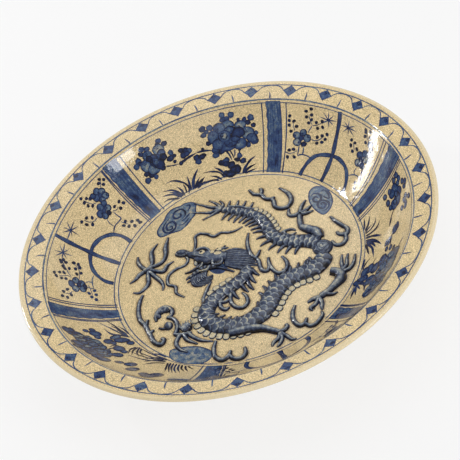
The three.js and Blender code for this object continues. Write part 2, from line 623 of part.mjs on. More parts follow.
    clay: bellyPlates(FOREBODY, 0.26, 0.52),
    cutBy: ['dragon_forebody'],
    material: cream,
  },
  belly_plates_flank: {
    clay: bellyPlates(FOREBODY, 0.6, 0.9),
    cutBy: ['dragon_forebody', 'dragon_haunch'],
    material: cream,
  },
  belly_plates_tail: {
    clay: bellyPlates(HINDBODY, 0.4, 0.74),
    cutBy: ['dragon_hindbody'],
    material: cream,
  },
};

// Cuts a piece back from what was laid before it, and keeps the part that stays in one.
function seated(name) {
  const { clay, cutBy = [] } = applied[name];
  const cut = cutBy.reduce((solid, other) => solid.subtract(applied[other].clay(SEAT_GAP)), clay(0));
  return cut.decompose().sort((a, b) => b.volume() - a.volume())[0];
}

// The eye sits in a round pocket of the head.
const pocket = solidOf(
  new THREE.CylinderGeometry(EYE.radius + SEAT_GAP, EYE.radius + SEAT_GAP, 2 * HEAD_RISE, 14)
    .rotateX(Math.PI / 2)
    .translate(EYE.x, EYE.y, FLOOR_Z + EYE_SEAT + HEAD_RISE),
);

const part = new THREE.Group();

function add(name, geometry, material) {
  const mesh = new THREE.Mesh(geometry, material);
  mesh.name = name;
  part.add(mesh);
}

add('bowl', bowlGeometry(), crackle);
add('foot_ring', footGeometry(), biscuit);
for (const [name, { material }] of Object.entries(applied)) {
  const solid = name === 'dragon_head' ? seated(name).subtract(pocket) : seated(name);
  add(name, geometryOf(solid), material);
}
const eyeball = pad(EYE.x, EYE.y, EYE.radius, EYE.radius, 0, EYE_RISE, { base: EYE_SEAT, sides: 14 });
add('dragon_eye', geometryOf(eyeball), cream);

export default part;
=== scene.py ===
# A wide footed bowl in crackled porcelain: painted borders, and a dragon in applied relief on the floor.
# Drawing sizes are millimetres in the part's own frame, and they become metres when a mesh is made.
import math
import random

import bpy
import numpy as np
from mathutils import Matrix, Quaternion, Vector, geometry


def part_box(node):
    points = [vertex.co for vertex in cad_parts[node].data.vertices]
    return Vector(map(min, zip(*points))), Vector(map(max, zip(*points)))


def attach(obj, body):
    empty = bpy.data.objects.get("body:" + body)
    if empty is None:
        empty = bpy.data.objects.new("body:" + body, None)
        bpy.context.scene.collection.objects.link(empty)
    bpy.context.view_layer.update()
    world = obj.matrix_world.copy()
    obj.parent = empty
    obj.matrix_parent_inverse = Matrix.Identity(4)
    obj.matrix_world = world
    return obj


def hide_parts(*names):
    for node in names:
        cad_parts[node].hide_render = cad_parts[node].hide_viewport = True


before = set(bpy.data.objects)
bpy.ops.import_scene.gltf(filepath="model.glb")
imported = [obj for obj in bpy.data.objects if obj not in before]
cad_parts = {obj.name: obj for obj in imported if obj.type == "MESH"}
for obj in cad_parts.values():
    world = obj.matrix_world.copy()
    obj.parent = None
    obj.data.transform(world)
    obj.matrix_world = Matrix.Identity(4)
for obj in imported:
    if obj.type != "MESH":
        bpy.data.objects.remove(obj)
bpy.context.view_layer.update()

MM = 0.001
rng = random.Random(7)

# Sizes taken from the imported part
bowl_low, bowl_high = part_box("bowl")
foot_low, foot_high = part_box("foot_ring")
FLOOR_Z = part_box("left_scroll")[0].z / MM
RIM_Z = bowl_high.z / MM
RIM_RADIUS = bowl_high.x / MM
BASE_Z = foot_high.z / MM
FOOT_RADIUS = foot_high.x / MM

# Sizes of the turned forms
FLOOR_RADIUS = 122
BAND_RADIUS = 177.5
RIM_RISE = 6.2
LIP_THICKNESS = 4
WALL_THICKNESS = 7
WALL_BOW = math.radians(14)
CORNER_SOFTNESS = 2.2
FOOT_WIDTH = 10
FOOT_DRAFT = 2
LIP_RADIUS = RIM_RADIUS - LIP_THICKNESS / 2
TURNS = 360

# Sizes of the painting
RIM_LINE = 194.0
FLOOR_LINES = (124.7, 120.8)
PAINT_STEP = 0.0006
PAINT_SKIN = 0.05


# The glaze surface: a table of height against radius for the top of the bowl
def raw_height(r):
    rise, run = RIM_Z - RIM_RISE - FLOOR_Z, BAND_RADIUS - FLOOR_RADIUS
    chord = math.atan2(rise, run)
    arc_radius = math.hypot(rise, run) / (2 * math.sin(WALL_BOW))
    start = math.sin(chord - WALL_BOW)
    slope = np.arcsin(np.clip(start + (r - FLOOR_RADIUS) / arc_radius, -1, 1))
    wall = FLOOR_Z + arc_radius * (math.cos(chord - WALL_BOW) - np.cos(slope))
    share = np.clip((r - BAND_RADIUS) / (LIP_RADIUS - BAND_RADIUS), 0, 1)
    band = RIM_Z - RIM_RISE * (1 - share)
    return np.where(r < FLOOR_RADIUS, FLOOR_Z, np.where(r < BAND_RADIUS, wall, band))


SAMPLE = 0.25
TABLE_R = np.arange(0, LIP_RADIUS + SAMPLE / 2, SAMPLE)


def softened(r, passes=3):
    """The height with its corners rounded off, as a glaze does."""
    reach = int(CORNER_SOFTNESS / SAMPLE)
    wide = np.arange(-reach * passes, len(r) + reach * passes) * SAMPLE
    z = raw_height(np.clip(np.abs(wide), 0, LIP_RADIUS))
    for _ in range(passes):
        z = np.convolve(z, np.ones(reach + 1) / (reach + 1), mode="valid")
    cut = (len(z) - len(r)) // 2
    return z[cut:cut + len(r)]


TABLE_Z = softened(TABLE_R)
TABLE_SLOPE = np.gradient(TABLE_Z, SAMPLE)
TABLE_ARC = np.concatenate([[0], np.cumsum(np.hypot(np.diff(TABLE_R), np.diff(TABLE_Z)))])
FLOOR_ARC = float(np.interp(FLOOR_RADIUS, TABLE_R, TABLE_ARC))


def drape(xy, lift):
    """Points of a flat drawing laid on the glaze, and the glaze's normal there."""
    xy = np.asarray(xy, float)
    r = np.maximum(np.hypot(xy[:, 0], xy[:, 1]), 1e-6)
    slope = np.interp(r, TABLE_R, TABLE_SLOPE)
    normal = np.column_stack([-slope * xy[:, 0] / r, -slope * xy[:, 1] / r, np.ones(len(r))])
    normal /= np.linalg.norm(normal, axis=1)[:, None]
    return np.column_stack([xy, np.interp(r, TABLE_R, TABLE_Z)]) + normal * lift, normal


def on_wall(azimuth, v, right=0.0, up=0.0):
    """A point of the wall: azimuth in degrees, v along the wall from the floor, then a shift to the right and up."""
    r = float(np.interp(FLOOR_ARC + v + up, TABLE_ARC, TABLE_R))
    angle = math.radians(azimuth) - right / r
    return (r * math.cos(angle), r * math.sin(angle))


def on_rim(azimuth, r, along=0.0):
    angle = math.radians(azimuth) + along / r
    return (r * math.cos(angle), r * math.sin(angle))


def smooth(points, step, closed=False):
    """A centripetal Catmull-Rom curve through points, at even steps. Columns after x and y go along with it."""
    p = np.asarray(points, float)
    if closed:
        p = np.vstack([p[-1:], p, p[:2]])
    else:
        p = np.vstack([2 * p[0] - p[1], p, 2 * p[-1] - p[-2]])
    knots = np.sqrt(np.maximum(np.linalg.norm(np.diff(p[:, :2], axis=0), axis=1), 1e-6))
    out = []
    for i in range(1, len(p) - 2):
        t0, t1, t2, t3 = 0, knots[i - 1], knots[i - 1] + knots[i], knots[i - 1] + knots[i] + knots[i + 1]
        t = np.linspace(t1, t2, 12, endpoint=False)[:, None]
        a1 = (t1 - t) / (t1 - t0) * p[i - 1] + (t - t0) / (t1 - t0) * p[i]
        a2 = (t2 - t) / (t2 - t1) * p[i] + (t - t1) / (t2 - t1) * p[i + 1]
        a3 = (t3 - t) / (t3 - t2) * p[i + 1] + (t - t2) / (t3 - t2) * p[i + 2]
        b1 = (t2 - t) / (t2 - t0) * a1 + (t - t0) / (t2 - t0) * a2
        b2 = (t3 - t) / (t3 - t1) * a2 + (t - t1) / (t3 - t1) * a3
        out.append((t2 - t) / (t2 - t1) * b1 + (t - t1) / (t2 - t1) * b2)
    line = np.vstack(out + ([] if closed else [p[-2:-1]]))
    if closed:
        line = np.vstack([line, line[:1]])
    s = np.concatenate([[0], np.cumsum(np.linalg.norm(np.diff(line[:, :2], axis=0), axis=1))])
    count = max(3, int(math.ceil(s[-1] / step)) + 1)
    even = np.linspace(0, s[-1], count)
    line = np.column_stack([np.interp(even, s, line[:, k]) for k in range(line.shape[1])])
    return line[:-1] if closed else line


# Materials
def node(tree, kind, **inputs):
    made = tree.nodes.new(kind)
    for name, value in inputs.items():
        made.inputs[name.replace("_", " ")].default_value = value
    return made


def srgb(r, g, b):
    return tuple(((c / 255 + 0.055) / 1.055) ** 2.4 if c > 10 else c / 255 / 12.92 for c in (r, g, b)) + (1.0,)


# The colour of the glaze by the ink attribute, from bare ground to the deepest cobalt
WALL_INKS = (
    (0.00, srgb(225, 202, 155)),
    (0.12, srgb(176, 169, 149)),
    (0.30, srgb(104, 122, 138)),
    (0.48, srgb(60, 84, 122)),
    (0.66, srgb(36, 58, 104)),
    (0.84, srgb(19, 34, 76)),
    (1.00, srgb(8, 13, 40)),
)
RELIEF_INKS = (
    (0.00, srgb(220, 202, 160)),
    (0.12, srgb(180, 177, 160)),
    (0.30, srgb(122, 132, 142)),
    (0.48, srgb(78, 90, 112)),
    (0.66, srgb(48, 60, 88)),
    (0.84, srgb(26, 34, 56)),
    (1.00, srgb(9, 11, 24)),
)
RUST = srgb(132, 100, 58)
# Pale lip colour: thin glaze, with a painted sheen on the rounded lip.
LIP_THIN_GLAZE_AND_SHEEN = srgb(217, 201, 165)


def glaze(name, inks, warmth, gloss):
    """Crackled glaze whose colour follows the ink attribute. Ink below zero is the rusty stain beside applied clay."""
    material = bpy.data.materials.new(name)
    material.use_nodes = True
    tree = material.node_tree
    link = tree.links.new
    shader = tree.nodes["Principled BSDF"]
    shader.inputs["IOR"].default_value = 1.5
    place = tree.nodes.new("ShaderNodeNewGeometry").outputs["Position"]

    def noise(scale, detail, roughness=0.6):
        made = node(tree, "ShaderNodeTexNoise", Scale=scale, Detail=detail, Roughness=roughness)
        link(place, made.inputs["Vector"])
        return made.outputs["Fac"]

    def cells(scale, feature):
        made = node(tree, "ShaderNodeTexVoronoi", Scale=scale, Randomness=1.0)
        made.feature = feature
        link(place, made.inputs["Vector"])
        return made

    def attribute(title):
        made = tree.nodes.new("ShaderNodeAttribute")
        made.attribute_name = title
        return made.outputs["Fac"]

    def spread(source, low, high, at_low, at_high):
        """source carried from one span to another, and held at its ends."""
        made = tree.nodes.new("ShaderNodeMapRange")
        for socket, value in (("From Min", low), ("From Max", high), ("To Min", at_low), ("To Max", at_high)):
            made.inputs[socket].default_value = value
        link(source, made.inputs["Value"])
        return made.outputs["Result"]

    def maths(operation, a, b):
        made = tree.nodes.new("ShaderNodeMath")
        made.operation = operation
        link(a, made.inputs[0])
        if isinstance(b, float):
            made.inputs[1].default_value = b
        else:
            link(b, made.inputs[1])
        return made.outputs["Value"]

    def times(colour, factor):
        made = tree.nodes.new("ShaderNodeVectorMath")
        made.operation = "MULTIPLY"
        link(colour, made.inputs[0])
        link(factor, made.inputs[1])
        return made.outputs["Vector"]

    def toward(colour, target, share):
        made = tree.nodes.new("ShaderNodeMix")
        made.data_type = "RGBA"
        made.inputs["B"].default_value = target
        link(share, made.inputs["Factor"])
        link(colour, made.inputs["A"])
        return made.outputs["Result"]

    ink = attribute("ink")
    brush, fine, cloud = noise(170.0, 4.0, 0.65), noise(640.0, 3.0), noise(24.0, 3.0, 0.55)
    lines, plates, specks = cells(580.0, "DISTANCE_TO_EDGE"), cells(580.0, "F1"), cells(150.0, "F1")

    loaded = spread(ink, 0.02, 0.30, 0.0, 1.0)
    uneven = maths("ADD", spread(brush, 0.3, 0.7, -0.16, 0.16), spread(fine, 0.3, 0.7, -0.09, 0.09))
    total = maths("ADD", ink, maths("MULTIPLY", uneven, loaded))
    ramp = tree.nodes.new("ShaderNodeValToRGB")
    stops = ramp.color_ramp.elements
    while len(stops) < len(inks):
        stops.new(0.5)
    for stop, (position, colour) in zip(stops, inks):
        stop.position = position
        stop.color = colour
    link(total, ramp.inputs["Fac"])

    colour = ramp.outputs["Color"]
    stain = maths("MULTIPLY", spread(ink, -1.0, 0.0, 1.0, 0.0), spread(brush, 0.35, 0.65, 0.45, 1.25))
    colour = toward(colour, RUST, stain)
    crack = spread(lines.outputs["Distance"], 0.0, 0.13, 0.46, 1.05)
    colour = times(colour, crack)
    colour = times(colour, spread(plates.outputs["Color"], 0.0, 1.0, 0.91, 1.09))
    colour = times(colour, spread(fine, 0.3, 0.7, 0.82, 1.20))
    colour = times(colour, spread(cloud, 0.3, 0.7, warmth, 1.03))
    # The pale attribute draws the lip toward its pale colour: thin glaze and a painted sheen.
    colour = toward(colour, LIP_THIN_GLAZE_AND_SHEEN, attribute("pale"))
    rare = spread(specks.outputs["Color"], 0.80, 0.84, 0.0, 1.0)
    spot = maths("MULTIPLY", spread(specks.outputs["Distance"], 0.05, 0.13, 0.65, 0.0), rare)
    colour = toward(colour, srgb(78, 58, 38), spot)
    link(colour, shader.inputs["Base Color"])
    link(spread(fine, 0.3, 0.7, *gloss), shader.inputs["Roughness"])

    crackle = node(tree, "ShaderNodeBump", Strength=0.08, Distance=0.0003)
    ripple = node(tree, "ShaderNodeBump", Strength=0.16, Distance=0.0006)
    waves = node(tree, "ShaderNodeBump", Strength=0.22, Distance=0.0016)
    link(noise(58.0, 2.0), waves.inputs["Height"])
    link(noise(210.0, 2.0), ripple.inputs["Height"])
    link(lines.outputs["Distance"], crackle.inputs["Height"])
    link(waves.outputs["Normal"], ripple.inputs["Normal"])
    link(ripple.outputs["Normal"], crackle.inputs["Normal"])
    link(crackle.outputs["Normal"], shader.inputs["Normal"])
    return material


def biscuit_clay():
    """Bare fired clay with a fine grit and dark iron specks."""
    material = bpy.data.materials.new("biscuit_clay")
    material.use_nodes = True
    tree = material.node_tree
    link = tree.links.new
    shader = tree.nodes["Principled BSDF"]
    place = tree.nodes.new("ShaderNodeNewGeometry").outputs["Position"]
    grit = node(tree, "ShaderNodeTexNoise", Scale=700.0, Detail=4.0)
    specks = node(tree, "ShaderNodeTexVoronoi", Scale=160.0)
    ramp = tree.nodes.new("ShaderNodeValToRGB")
    ramp.color_ramp.elements[0].position = 0.35
    ramp.color_ramp.elements[0].color = srgb(168, 138, 98)
    ramp.color_ramp.elements[1].position = 0.65
    ramp.color_ramp.elements[1].color = srgb(202, 176, 134)
    for texture in (grit, specks):
        link(place, texture.inputs["Vector"])
    link(grit.outputs["Fac"], ramp.inputs["Fac"])
    spotted = tree.nodes.new("ShaderNodeMapRange")
    for socket, value in (("From Min", 0.05), ("From Max", 0.12), ("To Min", 0.45), ("To Max", 1.0)):
        spotted.inputs[socket].default_value = value
    link(specks.outputs["Distance"], spotted.inputs["Value"])
    colour = tree.nodes.new("ShaderNodeVectorMath")
    colour.operation = "MULTIPLY"
    link(ramp.outputs["Color"], colour.inputs[0])
    link(spotted.outputs["Result"], colour.inputs[1])
    link(colour.outputs["Vector"], shader.inputs["Base Color"])
    shader.inputs["Roughness"].default_value = 0.85
    bump = node(tree, "ShaderNodeBump", Strength=0.3, Distance=0.0003)
    link(grit.outputs["Fac"], bump.inputs["Height"])
    link(bump.outputs["Normal"], shader.inputs["Normal"])
    return material


GLAZE = glaze("crackle_glaze", WALL_INKS, 0.93, (0.03, 0.10))
RELIEF_GLAZE = glaze("relief_glaze", RELIEF_INKS, 0.90, (0.04, 0.10))
BISCUIT = biscuit_clay()


def piece(name, verts, faces, ink, material, replaces=()):
    """A smooth-shaded mesh that rides on the bowl."""
    mesh = bpy.data.meshes.new(name)
    mesh.from_pydata((np.asarray(verts) * MM).tolist(), [], faces)
    attribute = mesh.attributes.new("ink", "FLOAT", "POINT")
    attribute.data.foreach_set("value", np.asarray(ink, np.float32))
    mesh.polygons.foreach_set("use_smooth", [True] * len(mesh.polygons))
    mesh.materials.append(material)
    made = bpy.data.objects.new(name, mesh)
    bpy.context.scene.collection.objects.link(made)
    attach(made, "root")
    if replaces:
        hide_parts(*replaces)
    return made


# Turned forms
def lathe(name, profile, material, replaces, sharp=40):
    """A closed ring of a profile that either starts and ends on the axis or closes on itself."""
    profile = np.asarray(profile, float)
    on_axis = profile[0, 0] < 1e-6
    rings = profile[1:-1] if on_axis else profile[:-1]
    angles = np.arange(TURNS) * 2 * math.pi / TURNS
    verts = [(r * math.cos(a), r * math.sin(a), z) for r, z in rings for a in angles]
    faces = []
    last = len(rings) - 1 if on_axis else len(rings)
    for i in range(last):
        j = (i + 1) % len(rings)
        for k in range(TURNS):
            m = (k + 1) % TURNS
            faces.append((i * TURNS + k, i * TURNS + m, j * TURNS + m, j * TURNS + k))
    if on_axis:
        for ring, (r, z), flip in ((0, profile[0], True), (len(rings) - 1, profile[-1], False)):
            verts.append((0, 0, z))
            for k in range(TURNS):
                a, b = ring * TURNS + k, ring * TURNS + (k + 1) % TURNS
                faces.append((len(verts) - 1, b, a) if flip else (len(verts) - 1, a, b))
    made = piece(name, verts, faces, np.zeros(len(verts)), material, replaces)
    made.data.set_sharp_from_angle(angle=math.radians(sharp))
    return made


def arc(centre_r, centre_z, radius, start, end, steps):
    angles = np.radians(np.linspace(start, end, steps + 1))
    return [(centre_r + radius * math.cos(a), centre_z + radius * math.sin(a)) for a in angles]


def bowl_profile():
    """From the middle of the underside, out round the lip and back over the glaze to the middle."""
    edge = LIP_THICKNESS / 2
    under = [(r, BASE_Z) for r in np.linspace(0, FOOT_RADIUS, 12)]
    outer = TABLE_R[(TABLE_R > FLOOR_RADIUS) & (TABLE_R < BAND_RADIUS - 4)][::12]
    for r in outer:
        slope = float(np.interp(r, TABLE_R, TABLE_SLOPE))
        length = math.hypot(1, slope)
        point = (
            r + WALL_THICKNESS * slope / length,
            float(np.interp(r, TABLE_R, TABLE_Z)) - WALL_THICKNESS / length,
        )
        if point[0] > FOOT_RADIUS + 1 and point[1] > BASE_Z:
            under.append(point)
    under += [(184.5, 63.7), (186.2, 66.6), (188.5, 68.8), (192.5, 71.2)]
    under += arc(LIP_RADIUS, RIM_Z - edge, edge, -65, 104, 14)
    over = [(r, z) for r, z in zip(TABLE_R[::6], TABLE_Z[::6]) if r < LIP_RADIUS - 0.8]
    return under + over[::-1]


def foot_profile():
    inner = FOOT_RADIUS - FOOT_DRAFT - FOOT_WIDTH
    outer = FOOT_RADIUS - FOOT_DRAFT
    ring = [(inner + 1.5, 0), (outer - 1.5, 0)]
    ring += arc(outer - 1.5, 1.5, 1.5, -80, 0, 5)
    ring += [(outer + FOOT_DRAFT, BASE_Z), (inner - FOOT_DRAFT, BASE_Z)]
    ring += arc(inner + 1.5, 1.5, 1.5, 180, 260, 5)
    return ring + ring[:1]

def thin_glaze_and_sheen_on_lip(made):
    """The glaze runs thin over the lip, where it is pale, and a painted sheen lies on its rounded edge."""
    places = np.empty(len(made.data.vertices) * 3)
    made.data.vertices.foreach_get("co", places)
    x, y, z = places.reshape(-1, 3).T / MM
    r = np.hypot(x, y)
    share = np.clip((r - 195.8) / 1.6, 0, 1) * np.clip((z - RIM_Z + LIP_THICKNESS) / 2, 0, 1)
    attribute = made.data.attributes.new("pale", "FLOAT", "POINT")
    attribute.data.foreach_set("value", (share * 0.8).astype(np.float32))


thin_glaze_and_sheen_on_lip(lathe("glazed_bowl", bowl_profile(), GLAZE, ["bowl"]))
lathe("turned_foot", foot_profile(), BISCUIT, ["foot_ring"])


# Brushwork: thin closed skins of underglaze blue that lie on the glaze surface
class Brushwork:
    def __init__(self, name, lift=0.07, rise=PAINT_STEP):
        self.name = name
        self.lift, self.rise = lift, rise
        self.verts, self.faces, self.ink = [], [], []
        self.laid = 0
        self.size = 0

    def patch(self, xy, faces, ink):
        """One brush mark: a sheet over the drawing's points, closed underneath and round its edge."""
        lift = self.lift + self.laid * self.rise
        self.laid += 1
        top, normal = drape(xy, lift)
        n, first = len(top), self.size
        edges = {(f[i], f[(i + 1) % len(f)]) for f in faces for i in range(len(f))}
        rim = [(a, b) for a, b in edges if (b, a) not in edges]
        self.verts += [top, top - normal * PAINT_SKIN]
        self.ink += [np.asarray(ink, float)] * 2
        self.faces += [tuple(first + i for i in f) for f in faces]
        self.faces += [tuple(first + n + i for i in reversed(f)) for f in faces]
        self.faces += [(first + b, first + a, first + n + a, first + n + b) for a, b in rim]
        self.size += 2 * n

    def ribbon(self, line, columns, closed=False):
        """A long mark. columns lists its rows of points from the right: distance from the line, and ink."""
        n = len(line)
        centre, normal = drape(line[:, :2], 0)
        ahead = np.roll(centre, -1, 0) - np.roll(centre, 1, 0) if closed else np.gradient(centre, axis=0)
        side = np.cross(ahead, normal)
        side /= np.maximum(np.linalg.norm(side, axis=1), 1e-9)[:, None]
        xy = np.vstack([(centre + side * np.broadcast_to(away, n)[:, None])[:, :2] for away, _ in columns])
        faces = []
        for i in range(n if closed else n - 1):
            j = (i + 1) % n
            for k in range(0, (len(columns) - 1) * n, n):
                faces.append((k + i, k + j, k + n + j, k + n + i))
        self.patch(xy, faces, np.concatenate([np.broadcast_to(load, n) for _, load in columns]))

    def stroke(self, path, width, ink=0.75, taper=(0.0, 0.0), step=1.6, closed=False, pool=0.1):
        """A stroke along path. Its width may swell and shrink, and the ink pools at its edges."""
        line = smooth(path, step, closed)
        n = len(line)
        share = np.linspace(0, 1, n)
        size = np.ones(n) if line.shape[1] < 3 else line[:, 2]
        if taper[0]:
            size = size * np.clip(0.15 + share / taper[0], 0, 1)
        if taper[1]:
            size = size * np.clip(0.15 + (1 - share) / taper[1], 0, 1)
        wave = rng.uniform(0, 6.28)
        half = width / 2 * size * (1 + 0.12 * np.sin(share * n * 0.55 + wave))
        tide = 0.07 * np.sin(share * n * 0.21 + wave)
        rich, thin = ink + pool + tide, ink - pool / 2 + tide
        if width < 2.5:
            columns = [(half, rich), (0, thin), (-half, rich)]
        else:
            load = (rich, ink + tide, thin - pool * 0.8, ink + tide, thin - pool * 0.5, rich)
            columns = list(zip([half * t for t in (1, 0.66, 0.22, -0.1, -0.55, -1)], load))
        self.ribbon(line, columns, closed)

    def fill(self, outline, ink=0.6, pool=0.12, grid=3.2, step=1.2, curved=True):
        """A wash inside an outline."""
        edge = smooth(outline, step, True) if curved else np.asarray(outline, float)
        edge = edge[:, :2]
        if np.sum(edge[:, 0] * np.roll(edge[:, 1], -1) - edge[:, 1] * np.roll(edge[:, 0], -1)) < 0:
            edge = edge[::-1]
        low, high = edge.min(0), edge.max(0)
        xs = np.arange(low[0] + grid / 2, high[0], grid)
        ys = np.arange(low[1] + grid / 2, high[1], grid)
        inside = [(x, y) for x in xs for y in ys if within(edge, x, y, grid * 0.35)]
        points = [Vector(p) for p in edge.tolist()] + [Vector(p) for p in inside]
        n = len(edge)
        found = geometry.delaunay_2d_cdt(points, [(i, (i + 1) % n) for i in range(n)], [], 1, 1e-4)
        xy = np.array([tuple(p) for p in found[0]])
        faces = []
        for f in found[2]:
            a, b, c = (xy[i] for i in f[:3])
            turn = (b[0] - a[0]) * (c[1] - a[1]) - (b[1] - a[1]) * (c[0] - a[0])
            faces.append(tuple(f) if turn > 0 else tuple(f[::-1]))
        load = np.array([ink - pool * 0.4 + rng.uniform(-0.08, 0.08) for _ in xy])
        for i, source in enumerate(found[3]):
            if any(s < n for s in source):
                load[i] = ink + pool
        self.patch(xy, faces, load)

    def dot(self, centre, place, rx, ry, ink=0.9, turn=0.0, pool=0.05, ragged=0.0):
        """A dab, round or with a ragged edge. place maps a shift to the right and up to the drawing."""
        reach = max(rx, ry)
        spokes = 12 if reach < 2.5 else 24
        bands = max(2, math.ceil(reach / 1.8))
        phase = [rng.uniform(0, 6.28) for _ in range(3)]
        xy, load = [place(*centre)], [ink - pool]
        for band in range(1, bands + 1):
            size = band / bands
            for k in range(spokes):
                t = k / spokes
                swell = 1 + ragged * sum(math.sin(w * 6.2832 * t + p) for w, p in zip((2, 3, 5), phase)) / 2
                u, v = centre_shift(rx * size * swell, ry * size * swell, turn, t)
                xy.append(place(centre[0] + u, centre[1] + v))
                streak = 0.09 * math.sin(6.2832 * t * 3 + phase[0] + size * 4) * ragged * 4 * size
                load.append(ink - pool + 2 * pool * size ** 3 + streak)
        xy = np.array(xy)
        faces = [(0, 1 + k, 1 + (k + 1) % spokes) for k in range(spokes)]
        for band in range(bands - 1):
            for k in range(spokes):
                a, b = 1 + band * spokes + k, 1 + band * spokes + (k + 1) % spokes
                faces.append((a, a + spokes, b + spokes, b))
        a, b, c = xy[0], xy[1], xy[2]
        if (b[0] - a[0]) * (c[1] - a[1]) - (b[1] - a[1]) * (c[0] - a[0]) < 0:
            faces = [f[::-1] for f in faces]
        self.patch(xy, faces, load)

    def lobe(self, place, rx, ry, ink=0.6, pool=0.14, outline=0.0):
        """A petal or the lobe of a leaf: a ragged wash, with a dark outline and veins if they are asked for."""
        turn = rng.uniform(-0.25, 0.25)
        self.dot((0, 0), place, rx, ry, ink, turn, pool, 0.10)
        if outline:
            ring = [place(*centre_shift(rx * 0.97, ry * 0.97, turn, k / 12)) for k in range(12)]
            self.stroke(ring, outline, 0.90, closed=True, step=1.0, pool=0.06)
            lean = rng.uniform(0, 6.28)
            for k in range(3 if rx > 3.4 else 0):
                way = (lean + 0.55 * k) / 6.28
                ends = [place(*centre_shift(rx * s, ry * s, turn, way)) for s in (0.15, 0.5, 0.85)]
                self.stroke(ends, 0.8, 0.72, step=1.0)

    def finish(self):
        made = piece(
            self.name, np.vstack(self.verts), self.faces, np.concatenate(self.ink),
            GLAZE,
        )
        made.data.set_sharp_from_angle(angle=math.radians(40))
        return made


def centre_shift(rx, ry, turn, share):
    a = 2 * math.pi * share
    u, v = rx * math.cos(a), ry * math.sin(a)
    return (u * math.cos(turn) - v * math.sin(turn), u * math.sin(turn) + v * math.cos(turn))


def within(edge, x, y, margin):
    """True if (x, y) lies inside the outline and at least margin from it."""
    a, b = edge, np.roll(edge, -1, 0)
    crosses = (a[:, 1] > y) != (b[:, 1] > y)
    span = np.where(crosses, b[:, 1] - a[:, 1], 1)
    at = a[:, 0] + (y - a[:, 1]) / span * (b[:, 0] - a[:, 0])
    if np.count_nonzero(crosses & (at > x)) % 2 == 0:
        return False
    return np.min(np.hypot(edge[:, 0] - x, edge[:, 1] - y)) > margin


def circle_path(r, count=72):
    return [(r * math.cos(2 * math.pi * k / count), r * math.sin(2 * math.pi * k / count)) for k in range(count)]

def paint_lines():
    lines = Brushwork("border_lines")
    lines.stroke(circle_path(RIM_LINE, 90), 1.1, 0.46, closed=True, step=3)
    lines.stroke(circle_path(BAND_RADIUS + 0.3, 90), 1.5, 0.36, closed=True, step=3)
    lines.stroke(circle_path(BAND_RADIUS - 2.0, 90), 0.9, 0.50, closed=True, step=3)
    for r in FLOOR_LINES:
        lines.stroke(circle_path(r, 90), 1.1, 0.48, closed=True, step=3)
    lines.finish()


# Where the painter set the lozenges, in degrees round the rim
LOZENGES = (
    3.1, 15.0, 27.2, 39.7, 52.2, 65.3, 77.6, 90.6, 102.8, 116.1, 129.8, 142.9, 156.8, 169.8, 182.9, 195.8, 208.8,
    220.6, 233.7, 246.2, 259.4, 272.2, 284.4, 298.1, 311.8, 325.9, 338.7, 351.0,
)


def paint_rim():
    """A lozenge at each foot of a row of scallops, and a tick under each arch."""
    lozenges = Brushwork("rim_lozenges", 0.10)
    scallops = Brushwork("rim_scallops")
    for k, a in enumerate(LOZENGES):
        pitch = (LOZENGES[(k + 1) % len(LOZENGES)] - a) % 360
        wide = 7.2 + 0.8 * math.sin(math.radians(a))
        half = math.radians(pitch) * 190 / 2
        side = ((190.8, wide * 0.48), (187.6, wide), (184.2, wide * 0.50), (182.2, wide * 0.2))
        kite = [(193.7, 0), *side, (180.5, 0), *((r, -s) for r, s in side[::-1])]
        outline = [on_rim(a, r + rng.uniform(-0.3, 0.3), s + rng.uniform(-0.3, 0.3)) for r, s in kite]
        lozenges.fill(outline, 0.60 + rng.uniform(-0.06, 0.08), 0.16, grid=2.0, curved=False)
        spot = (189.6 + rng.uniform(-0.8, 0.8), rng.uniform(-1.2, 1.2))
        lozenges.dot((0, 0), lambda u, v, a=a, spot=spot: on_rim(a, spot[0] + v, spot[1] + u), 2.6, 1.8, 0.84,
                     pool=-0.06, ragged=0.1)
        arch = [(187.6, wide - 0.4), (190.0, wide + 1.6), (192.2, wide + 5.0), (193.6, half)]
        path = [on_rim(a, r, s) for r, s in arch] + [on_rim(a + pitch, r, -s) for r, s in arch[-2::-1]]
        scallops.stroke(path, 1.1, 0.46 + rng.uniform(-0.06, 0.06), step=1.4)
        lean = rng.uniform(-0.4, 1.8)
        tick = [on_rim(a + pitch / 2, 178.6, -lean * 0.4), on_rim(a + pitch / 2, 183, 0),
                on_rim(a + pitch / 2, rng.uniform(186.4, 188.0), lean)]
        scallops.stroke(tick, 1.5, 0.54, taper=(0, 0.5), step=1.2)
    lozenges.finish()
    scallops.finish()


# The bands between the panels: the azimuth of the left and right edge at the top and at the foot, then the thin
# lines beside the band, each as its azimuth at the foot and at the top
BANDS = (
    ((6.9, -0.4), (4.5, -1.9), (-4.5, -1.7), (-3.4, -0.9), (6.4, 8.7), (7.4, 10.0)),
    ((60.1, 54.8), (59.7, 52.6), (61.4, 61.6), (51.6, 52.7)),
    ((122.5, 116.5), (122.4, 116.2), (124.2, 123.4), (114.4, 114.9), (123.2, 123.1)),
    ((188.0, 182.6), (185.8, 180.8), (187.6, 188.9), (177.7, 180.5), (186.8, 188.4), (179.0, 181.4)),
    ((252.4, 244.6), (248.6, 241.6), (250.0, 253.0), (240.1, 243.0), (249.2, 252.8)),
    ((300.9, 297.9), (304.8, 297.6), (306.2, 302.4), (295.9, 297.0), (305.6, 301.8)),
)


